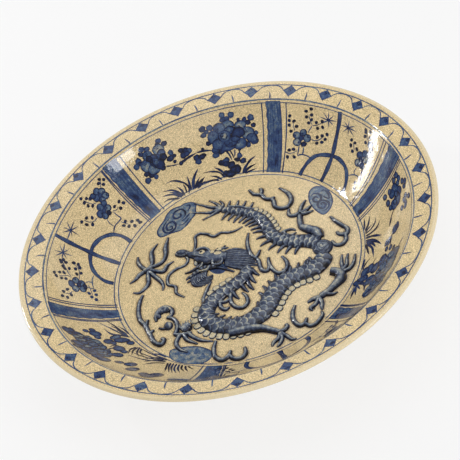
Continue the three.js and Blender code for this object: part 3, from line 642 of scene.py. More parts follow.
def paint_bands():
    """Streaky blue bands between the panels, with thin dark lines along their sides."""
    for index, (top, foot, *beside) in enumerate(BANDS):
        band = Brushwork("wall_band_%d" % (index + 1))
        columns, rows = 33, 50
        streak = [rng.uniform(-0.13, 0.10) for _ in range(columns)]
        grain = [rng.uniform(0, 6.28) for _ in range(columns)]
        blots = [(rng.uniform(0.2, 0.8), rng.uniform(4, 60)) for _ in range(6)]
        xy, ink = [], []
        for i in range(rows + 1):
            v = 1.4 + (75.6 - 1.4) * i / rows
            left, right = (foot[s] + (top[s] - foot[s]) * v / 76 for s in (0, 1))
            ragged = 0.16 * math.sin(i * 0.8 + index)
            for k in range(columns):
                t = k / (columns - 1)
                xy.append(on_wall(left + ragged * (1 - t) + (right - left) * t, v))
                edge = 0.28 if k in (0, columns - 1) else 0.18 if k in (1, columns - 2) else 0
                blot = sum(0.24 * math.exp(-((t - u) / 0.16) ** 2 - ((v - w) / 4.0) ** 2) for u, w in blots)
                wave = 0.07 * math.sin(v * 0.22 + grain[k]) + 0.05 * math.sin(v * 0.9 + grain[k] * 3)
                ink.append(0.52 + streak[k] + edge + blot + wave)
        faces = []
        for i in range(rows):
            for k in range(columns - 1):
                p = i * columns + k
                faces.append((p, p + 1, p + columns + 1, p + columns))
        a0, b0, c0 = xy[0], xy[1], xy[columns + 1]
        if (b0[0] - a0[0]) * (c0[1] - a0[1]) - (b0[1] - a0[1]) * (c0[0] - a0[0]) < 0:
            faces = [f[::-1] for f in faces]
        band.patch(np.array(xy), faces, ink)
        for low, high in beside:
            drift = rng.uniform(-0.15, 0.15)
            band.stroke([on_wall(low, 1.0), on_wall((low + high) / 2 + drift, 38), on_wall(high, 74.5)], 1.3, 0.66,
                        step=3)
        band.finish()


def wall_place(a, v):
    return lambda right, up: on_wall(a, v, right, up)


# The ring panels at 31 and at 153 degrees. Points are azimuth and distance up the wall. Petals add their radius
# across and up and their ink, stars list the tips of their rays, and stems start with their width.
R_POST = (
    (31.7, 75.1), (31.2, 64.8), (30.7, 47.6), (29.9, 31.2), (29.7, 20.6), (29.7, 11.3), (29.8, 2.7),
)
R_ARCH = (
    (42.3, 1.6), (41.5, 8.6), (40.1, 16.7), (38.0, 23.6), (35.1, 27.5), (31.5, 29.8), (28.0, 30.9),
    (24.9, 29.9), (21.8, 26.9), (19.6, 22.6), (18.0, 17.7), (16.7, 12.2), (15.9, 5.8), (16.7, 1.5),
)
R_STARS = (
    ((35.7, 63.1), [(36.2, 71.9), (38.1, 69.4), (39.7, 64.5), (33.9, 69.2), (32.1, 64.8), (37.6, 59.1), (34.9, 55.7), (33.3, 59.8)]),
    ((26.9, 63.4), [(27.3, 70.5), (29.3, 67.8), (24.3, 67.8), (22.8, 63.2), (23.5, 57.8), (26.0, 55.4), (28.6, 57.2), (30.3, 62.8)]),
)
R_PETALS = (
    (45.1, 45.3, 4.1, 3.6, 0.4), (47.7, 41.6, 4.6, 3.9, 0.38), (47.1, 34.8, 4.8, 4.1, 0.26),
    (43.1, 40.3, 4.7, 4.1, 0.34), (45.6, 39.1, 3.0, 3.1, 0.72), (44.1, 33.7, 3.8, 3.1, 0.86),
    (17.5, 45.2, 5.1, 3.7, 0.62), (15.6, 49.2, 4.4, 3.7, 0.46), (17.0, 37.5, 4.7, 3.5, 0.3),
    (13.8, 45.3, 4.3, 3.4, 0.3), (16.2, 42.4, 4.0, 3.1, 0.86), (14.5, 37.8, 5.2, 3.7, 0.78),
    (15.0, 60.0, 4.4, 3.4, 0.6), (14.0, 56.6, 3.5, 3.0, 0.66), (13.2, 52.5, 4.8, 3.6, 0.8),
)
R_BERRIES = (
    (51.2, 60.6), (51.3, 55.9), (51.2, 51.2), (49.4, 55.7), (48.2, 50.5), (50.3, 45.1),
    (45.0, 67.2), (43.1, 70.3), (44.6, 61.5), (42.7, 64.4), (42.5, 59.6), (43.5, 55.8),
    (40.4, 57.7), (38.1, 60.1), (39.5, 52.3), (37.5, 54.6), (38.9, 43.5), (36.9, 46.2),
    (35.0, 48.9), (35.3, 43.7), (36.4, 39.9), (38.5, 37.6), (50.1, 25.7), (48.2, 26.9),
    (50.4, 18.5), (47.3, 19.3), (23.9, 53.7), (22.0, 52.7), (23.4, 48.4), (20.1, 48.2),
    (21.7, 44.2), (19.2, 69.8), (19.0, 68.1), (18.7, 64.0), (17.0, 70.9), (16.3, 65.4),
    (17.5, 59.0), (12.9, 20.4), (11.4, 15.6),
)
R_STEMS = (
    (1.3, [(41.9, 53.8), (42.7, 49.0), (43.2, 45.7)]),
    (0.9, [(41.9, 53.8), (39.9, 55.3), (38.2, 58.7), (36.1, 62.9)]),
    (0.9, [(43.8, 63.5), (43.0, 58.4), (41.9, 54.2)]),
    (1.0, [(41.4, 40.2), (39.9, 39.4), (38.0, 41.3), (36.2, 46.4)]),
    (1.3, [(46.0, 31.4), (45.9, 26.2), (46.0, 21.0)]),
    (1.5, [(44.0, 31.0), (43.6, 26.4), (43.8, 23.1)]),
    (0.9, [(52.1, 23.8), (50.1, 22.2), (48.0, 23.6), (46.3, 26.5)]),
    (1.4, [(46.0, 21.0), (44.0, 23.0), (41.3, 22.6), (39.2, 21.3)]),
    (0.8, [(49.8, 54.5), (49.3, 49.0), (48.6, 45.9)]),
    (1.0, [(16.4, 33.0), (16.5, 28.5), (15.3, 25.7)]),
    (1.5, [(13.2, 35.5), (12.7, 31.3), (11.8, 27.3), (10.5, 23.0)]),
    (1.2, [(18.3, 21.7), (15.6, 25.8), (13.3, 26.9), (11.5, 25.1)]),
    (0.8, [(18.3, 68.2), (17.6, 64.2), (16.0, 60.8)]),
    (0.8, [(22.8, 52.5), (21.9, 48.7), (20.9, 45.8)]),
)
L_POST = (
    (153.4, 73.9), (153.1, 61.3), (152.8, 47.5), (152.6, 35.6), (152.6, 25.4), (152.4, 14.0),
    (152.2, 1.9),
)
L_ARCH = (
    (138.7, 2.1), (138.2, 8.1), (138.4, 14.2), (139.7, 21.6), (141.9, 26.9), (144.5, 30.9),
    (147.2, 33.0), (149.5, 34.1), (152.2, 33.8), (155.1, 32.4), (158.1, 29.6), (160.6, 25.6),
    (162.6, 20.1), (164.2, 12.6), (164.5, 4.0),
)
L_STARS = (
    ((148.3, 61.4), [(146.3, 69.1), (144.1, 63.2), (145.5, 56.8), (148.2, 51.5), (150.3, 57.1), (151.0, 68.3), (149.0, 69.5), (153.2, 60.8)]),
    ((158.3, 60.3), [(156.0, 66.2), (159.2, 69.8), (161.0, 67.2), (155.7, 55.4), (157.7, 49.9), (160.1, 54.3), (161.5, 59.7), (154.1, 61.7)]),
)
L_PETALS = (
    (168.0, 42.3, 4.4, 3.5, 0.34), (170.2, 46.4, 4.7, 3.5, 0.62), (168.8, 35.8, 4.7, 3.8, 0.44),
    (172.0, 42.1, 4.6, 3.7, 0.3), (171.2, 34.4, 4.5, 3.6, 0.36), (169.7, 38.7, 3.6, 2.4, 0.8),
    (169.8, 32.3, 3.8, 2.7, 0.9), (129.8, 62.0, 4.5, 4.1, 0.5), (128.4, 58.7, 4.3, 3.9, 0.46),
    (128.5, 52.9, 4.3, 3.8, 0.36), (131.6, 57.8, 4.4, 3.9, 0.5), (130.6, 52.3, 3.9, 3.5, 0.44),
    (132.1, 62.0, 3.4, 3.0, 0.6), (129.9, 56.7, 3.0, 2.7, 0.7), (133.4, 49.0, 4.4, 3.9, 0.52),
    (131.6, 42.7, 4.1, 3.6, 0.34), (135.6, 44.5, 4.5, 4.0, 0.5), (134.9, 39.6, 4.0, 3.6, 0.48),
    (133.6, 43.5, 2.8, 2.4, 0.74), (132.9, 38.6, 3.5, 3.0, 0.92), (131.2, 48.8, 3.4, 3.1, 0.52),
)
L_BERRIES = (
    (125.9, 69.0), (124.7, 65.8), (127.1, 66.6), (126.0, 62.5), (135.9, 69.9), (134.4, 65.6),
    (133.5, 62.6), (136.2, 64.5), (136.1, 59.6), (135.0, 55.9), (140.4, 53.8), (138.9, 49.2),
    (142.9, 55.7), (142.6, 50.0), (141.1, 45.0), (126.5, 38.6), (125.6, 34.4), (129.3, 38.5),
    (128.1, 32.7), (131.5, 20.1), (129.6, 14.9), (127.4, 11.1), (127.4, 7.8), (133.5, 18.5),
    (132.3, 13.9), (130.4, 9.6), (161.9, 60.8), (162.4, 59.7), (161.1, 57.8), (161.7, 54.9),
    (163.8, 57.3), (164.5, 55.0), (163.7, 50.3), (160.4, 47.0), (160.3, 42.1), (161.4, 39.9),
    (162.7, 44.0), (164.9, 41.8), (163.8, 37.7), (168.1, 65.3), (169.2, 62.9), (167.0, 59.7),
    (166.4, 55.1), (169.3, 57.1), (168.8, 52.5), (175.2, 55.2), (173.6, 50.9), (177.5, 56.9),
    (177.5, 51.5), (175.8, 47.0),
)
L_PALE_BERRIES = (
    (172.8, 28.3), (170.7, 22.6), (172.8, 21.1), (174.5, 25.8), (175.6, 21.5),
)
L_STEMS = (
    (0.8, [(125.7, 67.4), (127.7, 61.8)]),
    (0.9, [(135.7, 67.5), (135.3, 62.1), (134.3, 56.8), (132.9, 54.8)]),
    (0.9, [(141.8, 54.9), (141.1, 49.4), (139.8, 45.8), (137.3, 45.0)]),
    (0.8, [(131.4, 37.2), (130.1, 34.7), (128.2, 35.6)]),
    (1.4, [(131.4, 36.6), (131.5, 29.9), (131.4, 25.7), (132.5, 25.1), (135.4, 25.6), (137.3, 24.5), (139.4, 22.0)]),
    (0.9, [(135.5, 36.6), (136.4, 31.2), (136.3, 26.1)]),
    (0.8, [(132.7, 24.3), (132.5, 20.8), (131.6, 15.8)]),
    (1.0, [(161.6, 59.1), (163.9, 54.6), (165.7, 50.6), (167.5, 46.4)]),
    (0.8, [(168.8, 60.3), (167.9, 55.0), (167.0, 50.2), (167.5, 47.7)]),
    (0.8, [(160.9, 46.7), (161.6, 42.2), (163.7, 39.3), (167.1, 38.8)]),
    (1.1, [(167.7, 32.4), (166.7, 28.5), (166.8, 24.6)]),
    (1.2, [(162.9, 24.7), (165.1, 25.7), (167.5, 24.9), (169.8, 23.5)]),
    (1.1, [(169.7, 31.4), (169.8, 27.4), (169.7, 22.8)]),
    (0.8, [(168.4, 29.1), (171.7, 25.9), (173.6, 24.5)]),
    (0.9, [(173.8, 45.8), (175.2, 48.5), (175.9, 53.5)]),
)


def paint_ring_panel(index, shift, post, arch, stars, petals, near_black, grey, stems):
    """A post through an arch, two stars, and flowering stems with berries."""
    marks = Brushwork("ring_panel_%d" % (index + 1))

    def path(points):
        return [on_wall(a + shift, v) for a, v in points]

    for width, stem in stems:
        marks.stroke(path(stem), width, 0.60 + rng.uniform(-0.08, 0.1), taper=(0.1, 0.2), step=1.3)
    marks.stroke(path(arch), 4.3, 0.74, step=1.6, pool=0.2)
    marks.stroke(path(post), 4.8, 0.78, step=1.6, pool=0.18)
    foot = post[-1] if post[-1][1] < post[0][1] else post[0]
    marks.dot((0, 0), wall_place(foot[0] + shift, 7.5), 1.9, 5.6, 0.98, 0.06, 0.02, 0.06)
    for centre, tips in stars:
        for tip in tips:
            marks.stroke(path([centre, tip]), 1.25, 0.66, taper=(0, 0.6), step=1.3)
        marks.dot((0, 0), wall_place(centre[0] + shift, centre[1]), 1.5, 1.3, 0.80)
    for a, v, rx, ry, ink in petals:
        marks.lobe(wall_place(a + shift, v), rx * 0.92, ry * 0.92, ink + 0.06, 0.12, 1.3 if ink < 0.66 else 0)
    for spots, ink in ((near_black, 0.95), (grey, 0.66)):
        for a, v in spots:
            marks.dot((0, 0), wall_place(a + shift, v), rng.uniform(2.0, 2.4), rng.uniform(1.6, 1.95), ink,
                      rng.uniform(-0.9, 0.9), 0.03, 0.08)
    marks.finish()


# The flower panels. Lobes are azimuth, distance up the wall, radius across and up, and ink.
A_BRANCH = (
    (1.2, [(102.5, 38.0), (99.8, 35.3), (97.4, 33.8)]),
    (2.2, [(97.6, 33.7), (94.9, 34.9), (92.2, 36.3), (89.2, 37.5)]),
    (1.7, [(89.2, 37.5), (86.0, 36.5), (82.1, 33.9)]),
    (1.6, [(77.9, 31.6), (76.5, 25.0), (75.8, 18.5)]),
    (1.3, [(76.1, 30.7), (75.3, 25.5), (74.8, 19.8)]),
    (1.2, [(73.9, 29.8), (74.1, 24.9), (74.6, 21.5)]), (1.3, [(71.9, 27.4), (72.2, 24.0)]),
)
A_GRASS = (
    (1.8, [(99.8, 0.8), (98.4, 5.6), (99.0, 11.8), (101.1, 17.6), (103.5, 21.4), (106.3, 22.4)]),
    (1.4, [(100.6, 2.5), (100.0, 7.5), (100.1, 13.2)]),
    (2.0, [(98.0, 3.0), (97.4, 9.9), (96.8, 18.4)]),
    (2.6, [(96.9, 1.7), (95.6, 9.2), (93.4, 16.1), (91.1, 20.9)]),
    (2.0, [(96.0, 2.0), (94.0, 7.4), (91.9, 11.9)]),
    (2.6, [(95.2, 2.6), (92.4, 6.5), (89.7, 10.1)]), (1.6, [(95.0, 1.0), (92.0, 4.1), (89.9, 5.8)]),
    (1.9, [(102.2, 1.0), (102.1, 7.5), (103.1, 13.4)]),
    (1.6, [(102.3, 1.9), (103.7, 7.4), (105.8, 12.9), (109.7, 17.0)]),
    (2.0, [(102.8, 1.1), (104.4, 7.0), (107.3, 12.1)]),
    (1.8, [(103.7, 0.6), (105.7, 6.7), (108.3, 10.6), (111.1, 12.7)]),
    (1.6, [(104.9, 0.8), (107.2, 3.7), (109.6, 6.4), (112.2, 6.8)]),
    (2.0, [(80.7, 2.2), (80.9, 8.0), (82.5, 12.8), (84.3, 16.1)]),
    (1.5, [(80.9, 2.7), (82.4, 9.0), (85.2, 12.3), (87.7, 13.8), (89.8, 14.3)]),
    (1.5, [(82.2, 0.7), (84.0, 5.1), (87.2, 8.9)]),
    (1.5, [(83.4, 0.6), (85.4, 2.9), (89.2, 4.1), (92.5, 4.2)]),
    (2.2, [(80.4, 2.4), (80.3, 5.7), (81.1, 10.0)]),
    (2.2, [(71.7, 2.1), (70.1, 8.8), (67.8, 15.3), (65.1, 19.7)]),
    (1.9, [(71.2, 2.9), (68.5, 7.7), (64.9, 11.3)]), (1.6, [(70.6, 2.2), (68.1, 4.0), (64.7, 6.2)]),
    (2.4, [(71.5, 2.3), (70.6, 7.2), (69.4, 12.4)]),
)
A_LEAVES = (
    (76.2, 67.2, 3.6, 3.7, 0.52), (73.0, 66.0, 3.6, 3.9, 0.5), (76.3, 62.5, 3.8, 3.2, 0.66),
    (74.7, 62.7, 3.1, 3.0, 0.6), (70.7, 59.7, 2.1, 2.0, 0.8), (68.5, 58.7, 2.9, 3.2, 0.66),
    (66.0, 60.1, 4.1, 3.8, 0.5), (67.3, 55.4, 3.6, 3.1, 0.9), (65.3, 52.0, 3.1, 2.8, 0.84),
    (64.5, 43.7, 2.9, 2.5, 0.6), (65.2, 35.8, 4.6, 4.7, 0.7), (68.0, 32.5, 3.1, 3.7, 0.64),
    (84.3, 58.7, 4.4, 3.4, 0.82), (81.6, 57.8, 3.8, 3.7, 0.62), (84.5, 52.2, 3.9, 2.9, 0.74),
    (83.2, 54.7, 3.0, 2.8, 0.66), (83.7, 42.3, 3.0, 2.9, 0.88), (81.6, 33.8, 4.7, 4.9, 0.62),
    (82.0, 28.6, 4.6, 3.7, 0.62), (79.4, 30.2, 4.0, 3.0, 0.86), (71.8, 28.6, 2.1, 1.8, 0.92),
    (72.2, 22.2, 3.1, 3.5, 0.58), (73.4, 18.3, 3.8, 2.4, 0.96), (70.9, 16.1, 4.1, 3.1, 0.8),
    (86.5, 38.3, 1.9, 2.5, 0.88), (94.5, 46.0, 3.4, 3.1, 0.86), (92.9, 44.3, 3.7, 3.3, 0.84),
    (91.5, 42.5, 2.9, 3.2, 0.56), (94.4, 40.1, 4.1, 3.6, 0.78), (92.9, 40.3, 3.5, 3.1, 0.74),
    (96.6, 33.6, 2.7, 2.5, 0.94), (98.5, 38.2, 2.3, 2.1, 0.92), (89.9, 32.5, 4.1, 3.6, 0.84),
    (87.7, 31.6, 5.4, 3.3, 0.95), (89.8, 28.0, 3.9, 3.6, 0.66), (100.5, 65.5, 3.4, 3.3, 0.58),
    (99.0, 60.5, 3.6, 3.1, 0.84), (101.4, 62.1, 3.6, 3.1, 0.86), (107.3, 66.4, 3.7, 3.4, 0.62),
    (105.5, 63.8, 3.5, 3.3, 0.7), (108.3, 62.6, 3.4, 3.0, 0.74), (106.5, 60.8, 3.0, 2.8, 0.95),
    (98.4, 48.7, 3.1, 3.3, 0.52), (97.8, 43.9, 2.9, 2.2, 0.92), (99.5, 43.3, 4.3, 3.7, 0.84),
    (103.8, 37.9, 3.2, 2.9, 0.92), (110.5, 57.8, 3.8, 3.8, 0.6), (112.2, 54.0, 3.8, 3.7, 0.54),
    (110.6, 54.8, 3.0, 2.8, 0.9), (110.7, 41.8, 3.4, 3.0, 0.92), (108.9, 38.4, 4.5, 3.8, 0.96),
    (108.1, 34.2, 2.9, 3.0, 0.62), (111.7, 35.4, 3.9, 3.7, 0.62),
)
A_PEONY = (
    (75.0, 56.1, 7.1, 5.0, 0.34), (70.3, 53.6, 6.2, 4.9, 0.3), (78.3, 54.3, 6.4, 6.1, 0.46),
    (81.1, 46.9, 6.2, 7.2, 0.44), (67.7, 44.4, 7.2, 6.5, 0.32), (66.2, 38.9, 6.0, 4.7, 0.5),
    (71.4, 34.6, 7.9, 5.7, 0.46), (80.0, 38.7, 6.3, 5.7, 0.5), (76.0, 34.1, 8.4, 4.7, 0.52),
    (74.7, 38.3, 7.6, 5.3, 0.58), (74.4, 50.3, 6.1, 4.1, 0.5), (71.5, 46.0, 7.9, 6.3, 0.8),
    (76.9, 45.4, 6.8, 5.9, 0.44), (77.1, 45.7, 3.5, 3.3, 0.22), (72.9, 40.3, 4.7, 3.1, 0.66),
)
A_ROCK = (
    (80.6, 18.7, 3.7, 3.2, 0.96), (78.3, 19.9, 3.8, 3.6, 0.7), (78.6, 16.2, 4.0, 3.2, 0.88),
    (76.3, 13.3, 4.5, 4.6, 1.0), (74.3, 8.3, 5.2, 4.9, 1.0), (77.4, 4.9, 6.1, 4.3, 0.97),
    (79.6, 7.2, 2.8, 2.5, 0.8), (76.0, 8.9, 3.5, 3.6, 1.0), (78.2, 4.5, 2.6, 1.8, 0.66),
)
A_NEAR = (
    (101.9, 57.5, 6.3, 5.3, 0.2), (106.5, 57.1, 5.5, 5.3, 0.44), (109.0, 49.2, 6.1, 6.2, 0.36),
    (107.0, 42.0, 6.4, 5.5, 0.34), (101.6, 52.7, 4.5, 4.0, 0.56), (104.5, 48.5, 7.7, 6.7, 0.58),
    (105.2, 51.8, 4.9, 4.5, 0.7), (101.7, 48.2, 4.5, 4.4, 1.0), (106.6, 54.1, 3.6, 3.6, 0.96),
    (104.1, 43.1, 5.8, 5.1, 0.82), (105.0, 47.8, 4.0, 3.8, 0.44),
)
B_BLOBS = (
    (195.2, 67.4, 5.4, 5.1, 0.84), (195.0, 61.3, 4.4, 3.8, 0.84), (196.9, 65.0, 3.5, 5.1, 0.8),
    (197.1, 57.6, 5.8, 7.3, 0.84), (194.2, 45.0, 2.6, 3.4, 0.84), (193.6, 37.2, 3.0, 3.6, 0.9),
    (195.6, 36.5, 5.1, 7.2, 0.94), (197.9, 36.7, 3.1, 3.7, 0.84), (199.3, 54.3, 8.0, 11.5, 0.6),
    (201.5, 49.6, 9.4, 13.2, 0.74), (205.2, 50.0, 9.9, 14.6, 0.66), (208.1, 49.2, 8.4, 12.1, 0.6),
    (202.4, 65.8, 5.3, 8.3, 0.82), (204.8, 68.4, 4.5, 8.9, 0.8), (206.1, 63.4, 5.1, 8.8, 0.8),
    (208.4, 61.7, 5.5, 9.0, 0.84), (210.8, 60.5, 4.9, 8.3, 0.84), (212.7, 58.3, 5.6, 8.6, 0.88),
    (202.5, 48.5, 4.2, 6.2, 0.4), (206.5, 49.4, 3.8, 5.7, 0.36), (201.8, 56.9, 3.3, 4.7, 0.92),
    (200.8, 29.1, 4.4, 6.1, 0.92), (202.0, 25.8, 3.2, 3.5, 0.8), (206.1, 25.9, 5.5, 6.9, 0.88),
    (208.5, 24.9, 3.2, 4.2, 0.8), (210.1, 35.3, 4.5, 6.5, 0.88), (215.2, 45.6, 3.0, 5.6, 0.86),
    (217.9, 38.4, 4.6, 8.0, 0.86), (221.6, 47.6, 4.7, 9.4, 0.84), (226.9, 50.8, 4.7, 7.8, 0.66),
    (229.8, 42.6, 6.1, 8.6, 0.86), (229.3, 53.8, 5.5, 10.3, 0.7), (237.6, 50.8, 6.1, 7.0, 0.84),
    (240.3, 48.6, 8.6, 5.7, 0.7), (200.9, 15.4, 4.4, 8.6, 0.56), (203.8, 9.3, 3.5, 4.3, 0.6),
    (198.5, 18.8, 3.1, 7.1, 0.44),
)
B_GRASS = (
    (1.6, [(197.5, 5.0), (195.4, 7.2), (192.2, 12.2), (191.0, 15.8)]),
    (1.6, [(198.6, 5.5), (196.3, 8.2), (193.4, 11.9)]),
    (2.2, [(199.2, 5.5), (197.3, 13.1), (196.3, 19.4), (192.9, 24.0)]),
    (1.6, [(197.8, 3.1), (194.7, 4.2), (191.3, 8.5)]),
    (2.6, [(202.2, 7.1), (199.6, 12.9), (198.3, 21.9)]),
    (1.4, [(207.4, 8.4), (207.8, 15.8), (210.4, 23.6)]),
    (1.4, [(207.8, 6.6), (208.9, 14.4), (211.8, 22.4)]),
    (1.4, [(208.1, 5.2), (210.5, 13.1), (213.9, 18.4)]),
    (1.4, [(209.3, 5.6), (211.6, 11.5), (214.5, 13.3)]),
    (1.2, [(204.8, 26.1), (205.3, 34.2), (206.1, 40.4)]),
    (1.2, [(204.1, 22.5), (203.5, 27.8), (204.3, 34.0)]),
    (1.8, [(223.7, 2.7), (218.7, 6.6), (216.4, 16.5)]),
    (1.8, [(224.0, 6.7), (220.0, 11.9), (217.9, 21.7)]),
    (1.6, [(224.6, 9.6), (221.1, 16.7), (219.7, 28.1)]),
    (1.6, [(221.5, -0.1), (217.5, 0.2), (214.0, 6.2)]),
    (1.5, [(225.2, 7.7), (227.0, 16.1), (229.4, 27.7)]),
    (1.5, [(226.1, 6.2), (227.9, 15.3), (231.0, 27.1)]),
    (1.5, [(227.3, 5.3), (229.1, 15.5), (232.4, 27.4)]),
    (1.5, [(228.6, 5.0), (230.4, 15.7), (233.5, 25.7)]),
    (1.5, [(229.9, 4.8), (231.6, 14.1), (234.3, 22.4)]),
    (1.5, [(231.3, 5.1), (232.8, 12.7), (235.5, 18.9)]),
    (1.4, [(232.9, 5.3), (234.3, 11.3), (236.8, 17.9)]),
    (1.3, [(233.9, 5.2), (235.9, 8.6), (238.0, 11.0)]),
    (1.4, [(222.6, 2.0), (216.0, 4.5), (208.5, 6.5)]),
    (1.5, [(223.0, 3.5), (217.0, 9.0), (209.5, 13.0)]),
    (1.5, [(223.2, 5.0), (216.5, 13.0), (209.0, 19.0)]),
    (1.5, [(223.6, 6.5), (217.5, 17.5), (211.0, 26.0)]),
    (1.5, [(200.0, 6.0), (193.0, 16.0), (188.5, 27.0)]),
    (1.4, [(200.0, 5.0), (191.5, 11.0), (186.5, 20.0)]),
)
C_BLOBS = (
    (352.8, 52.9, 8.1, 5.7, 0.68), (350.4, 57.4, 6.2, 3.9, 0.72), (352.6, 46.9, 6.5, 4.3, 0.7),
    (348.3, 51.7, 8.6, 5.9, 0.66), (347.7, 45.8, 7.1, 5.2, 0.72), (350.6, 52.2, 4.3, 2.8, 0.44),
    (348.2, 47.9, 3.9, 2.5, 0.5), (356.6, 60.9, 4.1, 2.9, 0.84), (356.0, 55.5, 3.8, 2.7, 0.84),
    (354.5, 62.3, 3.8, 2.5, 0.8), (353.6, 58.6, 3.5, 2.7, 0.8), (352.0, 65.0, 3.7, 2.6, 0.84),
    (350.6, 68.5, 4.0, 2.6, 0.84), (349.5, 65.5, 3.5, 2.4, 0.82), (354.4, 37.8, 3.8, 2.8, 0.8),
    (354.3, 45.2, 3.9, 2.5, 0.76), (350.8, 38.8, 4.5, 2.8, 0.84), (347.9, 40.5, 3.6, 2.5, 0.86),
    (345.5, 64.4, 4.4, 2.8, 0.7), (343.9, 69.4, 3.9, 2.4, 0.72), (342.4, 62.5, 5.7, 2.9, 0.74),
    (344.7, 61.0, 4.1, 2.4, 0.7), (342.6, 56.3, 3.8, 2.4, 0.74), (337.4, 48.0, 5.2, 2.5, 0.8),
    (336.7, 44.2, 6.1, 4.8, 0.78), (333.3, 36.1, 6.0, 2.7, 0.76), (333.3, 32.5, 4.6, 2.5, 0.74),
    (330.1, 34.2, 3.6, 2.1, 0.9), (329.3, 40.7, 3.6, 2.6, 0.92), (327.7, 46.8, 4.3, 2.2, 0.86),
    (323.7, 47.3, 10.5, 11.4, 0.76), (324.0, 51.9, 8.6, 8.8, 0.82), (322.1, 44.7, 13.4, 15.5, 0.62),
    (319.0, 44.7, 12.9, 17.4, 0.64), (316.3, 41.5, 11.4, 14.8, 0.68), (321.7, 37.3, 6.3, 7.0, 0.4),
    (313.1, 45.1, 8.3, 11.3, 0.84), (325.7, 32.6, 6.9, 5.8, 0.8), (324.3, 28.2, 4.9, 4.8, 0.76),
    (323.2, 23.7, 7.2, 6.1, 0.82), (324.3, 16.0, 6.6, 5.5, 0.84), (323.3, 10.1, 6.8, 5.7, 0.9),
    (317.3, 24.2, 6.7, 8.2, 0.86), (316.3, 21.1, 4.2, 5.2, 0.8), (311.3, 37.9, 9.5, 12.1, 0.94),
    (309.6, 35.8, 5.8, 6.6, 0.84), (318.4, 6.3, 4.4, 7.0, 0.97), (319.7, 12.5, 4.5, 6.3, 0.88),
    (319.7, 8.8, 3.7, 5.1, 0.9),
)
C_STROKES = (
    (1.6, [(348.8, 3.9), (352.3, 6.1), (354.9, 7.5)]),
    (2.0, [(347.8, 4.5), (349.8, 9.4), (353.4, 14.0)]),
    (1.6, [(346.2, 3.9), (346.6, 11.8), (348.0, 17.5), (350.3, 20.3)]),
    (1.9, [(344.9, 4.2), (344.5, 11.1), (345.2, 19.3), (347.5, 24.7)]),
    (2.2, [(343.8, 3.9), (342.2, 13.2), (339.3, 24.6)]),
    (2.6, [(342.3, 3.7), (340.3, 11.7), (337.1, 19.7), (334.6, 24.8)]),
    (2.6, [(341.3, 4.2), (338.7, 11.7), (335.4, 16.7)]),
    (2.2, [(340.4, 4.8), (335.9, 12.1), (330.1, 16.2)]),
    (2.2, [(340.1, 3.9), (336.3, 6.3), (333.3, 8.7)]),
    (1.5, [(346.8, 4.1), (347.8, 8.4), (348.4, 13.2)]),
    (1.6, [(325.3, 5.2), (328.7, 7.3), (330.5, 11.7)]),
    (1.4, [(324.6, 6.4), (325.3, 14.9), (329.3, 20.6)]),
    (2.6, [(318.2, 5.3), (316.3, 17.1), (311.8, 25.0)]), (2.0, [(317.5, 4.7), (313.9, 15.2)]),
    (2.2, [(316.6, 5.0), (310.9, 13.6)]), (2.2, [(316.0, 4.8), (309.0, 9.6)]),
    (1.8, [(331.6, 4.6), (328.9, 4.0), (325.6, 4.1)]), (1.4, [(343.3, 39.4), (340.4, 35.8)]),
    (1.6, [(328.8, 62.8), (327.4, 58.0), (325.4, 54.9)]),
    (1.3, [(337.1, 41.0), (333.0, 39.2), (329.0, 40.9)]),
    (1.3, [(345.8, 43.7), (343.5, 38.7), (340.3, 35.0)]),
)


def paint_flower_panel(index, strokes, groups, deepest=1.0):
    """Peonies on a branch over grass and a dark leafy rock."""
    marks = Brushwork("flower_panel_%d" % (index + 1), 0.08)
    for width, path in strokes:
        marks.stroke([on_wall(a, v) for a, v in path], width * 1.25, 0.88 + rng.uniform(-0.1, 0.1), taper=(0.1, 0.45),
                     step=1.3)
    for lobes, outline, shrink in groups:
        for a, v, rx, ry, ink in lobes:
            if min(rx, ry) > 7.5:
                for k in range(7):
                    u, w = centre_shift(rx * 0.56, ry * 0.56, 0, k / 6) if k < 6 else (0, 0)
                    marks.lobe(lambda x, y, a=a, v=v, u=u, w=w: on_wall(a, v, x + u, y + w), rx * 0.42, ry * 0.42,
                               rng.uniform(0.30, 0.56), 0.14, 1.5)
                continue
            marks.lobe(wall_place(a, v), rx * shrink, ry * shrink, min(ink + 0.1, deepest), 0.16,
                       outline if ink < 0.75 or deepest < 1 else 0)
    marks.finish()


paint_lines()
paint_rim()
paint_bands()
LEFT_RING = (L_POST, L_ARCH, L_STARS, L_PETALS, L_BERRIES, L_PALE_BERRIES, L_STEMS)
paint_ring_panel(0, 0, *LEFT_RING)
paint_ring_panel(1, 0, R_POST, R_ARCH, R_STARS, R_PETALS, R_BERRIES, (), R_STEMS)
paint_ring_panel(2, 120.7, *LEFT_RING)
paint_flower_panel(0, A_GRASS + A_BRANCH, ((A_ROCK, 0, 1.0), (A_LEAVES, 0, 0.92), (A_NEAR, 1.4, 0.98),
                                           (A_PEONY, 1.4, 0.98)))
paint_flower_panel(1, B_GRASS, ((B_BLOBS, 1.2, 0.86),), 0.66)
paint_flower_panel(2, C_STROKES, ((C_BLOBS, 1.2, 0.86),), 0.66)


def identity(x, y):
    return (x, y)


def wash(marks, outline, ink, swirls, rim=1.3):
    """A cloud: a pale wash, a dark rim and bold swirls."""
    marks.fill(outline, ink, 0.14, grid=2.4)
    marks.stroke(outline, rim, 0.74, closed=True, step=1.4)
    for width, swirl in swirls:
        marks.stroke(swirl, width, 0.84, taper=(0.1, 0.25), step=1.3)


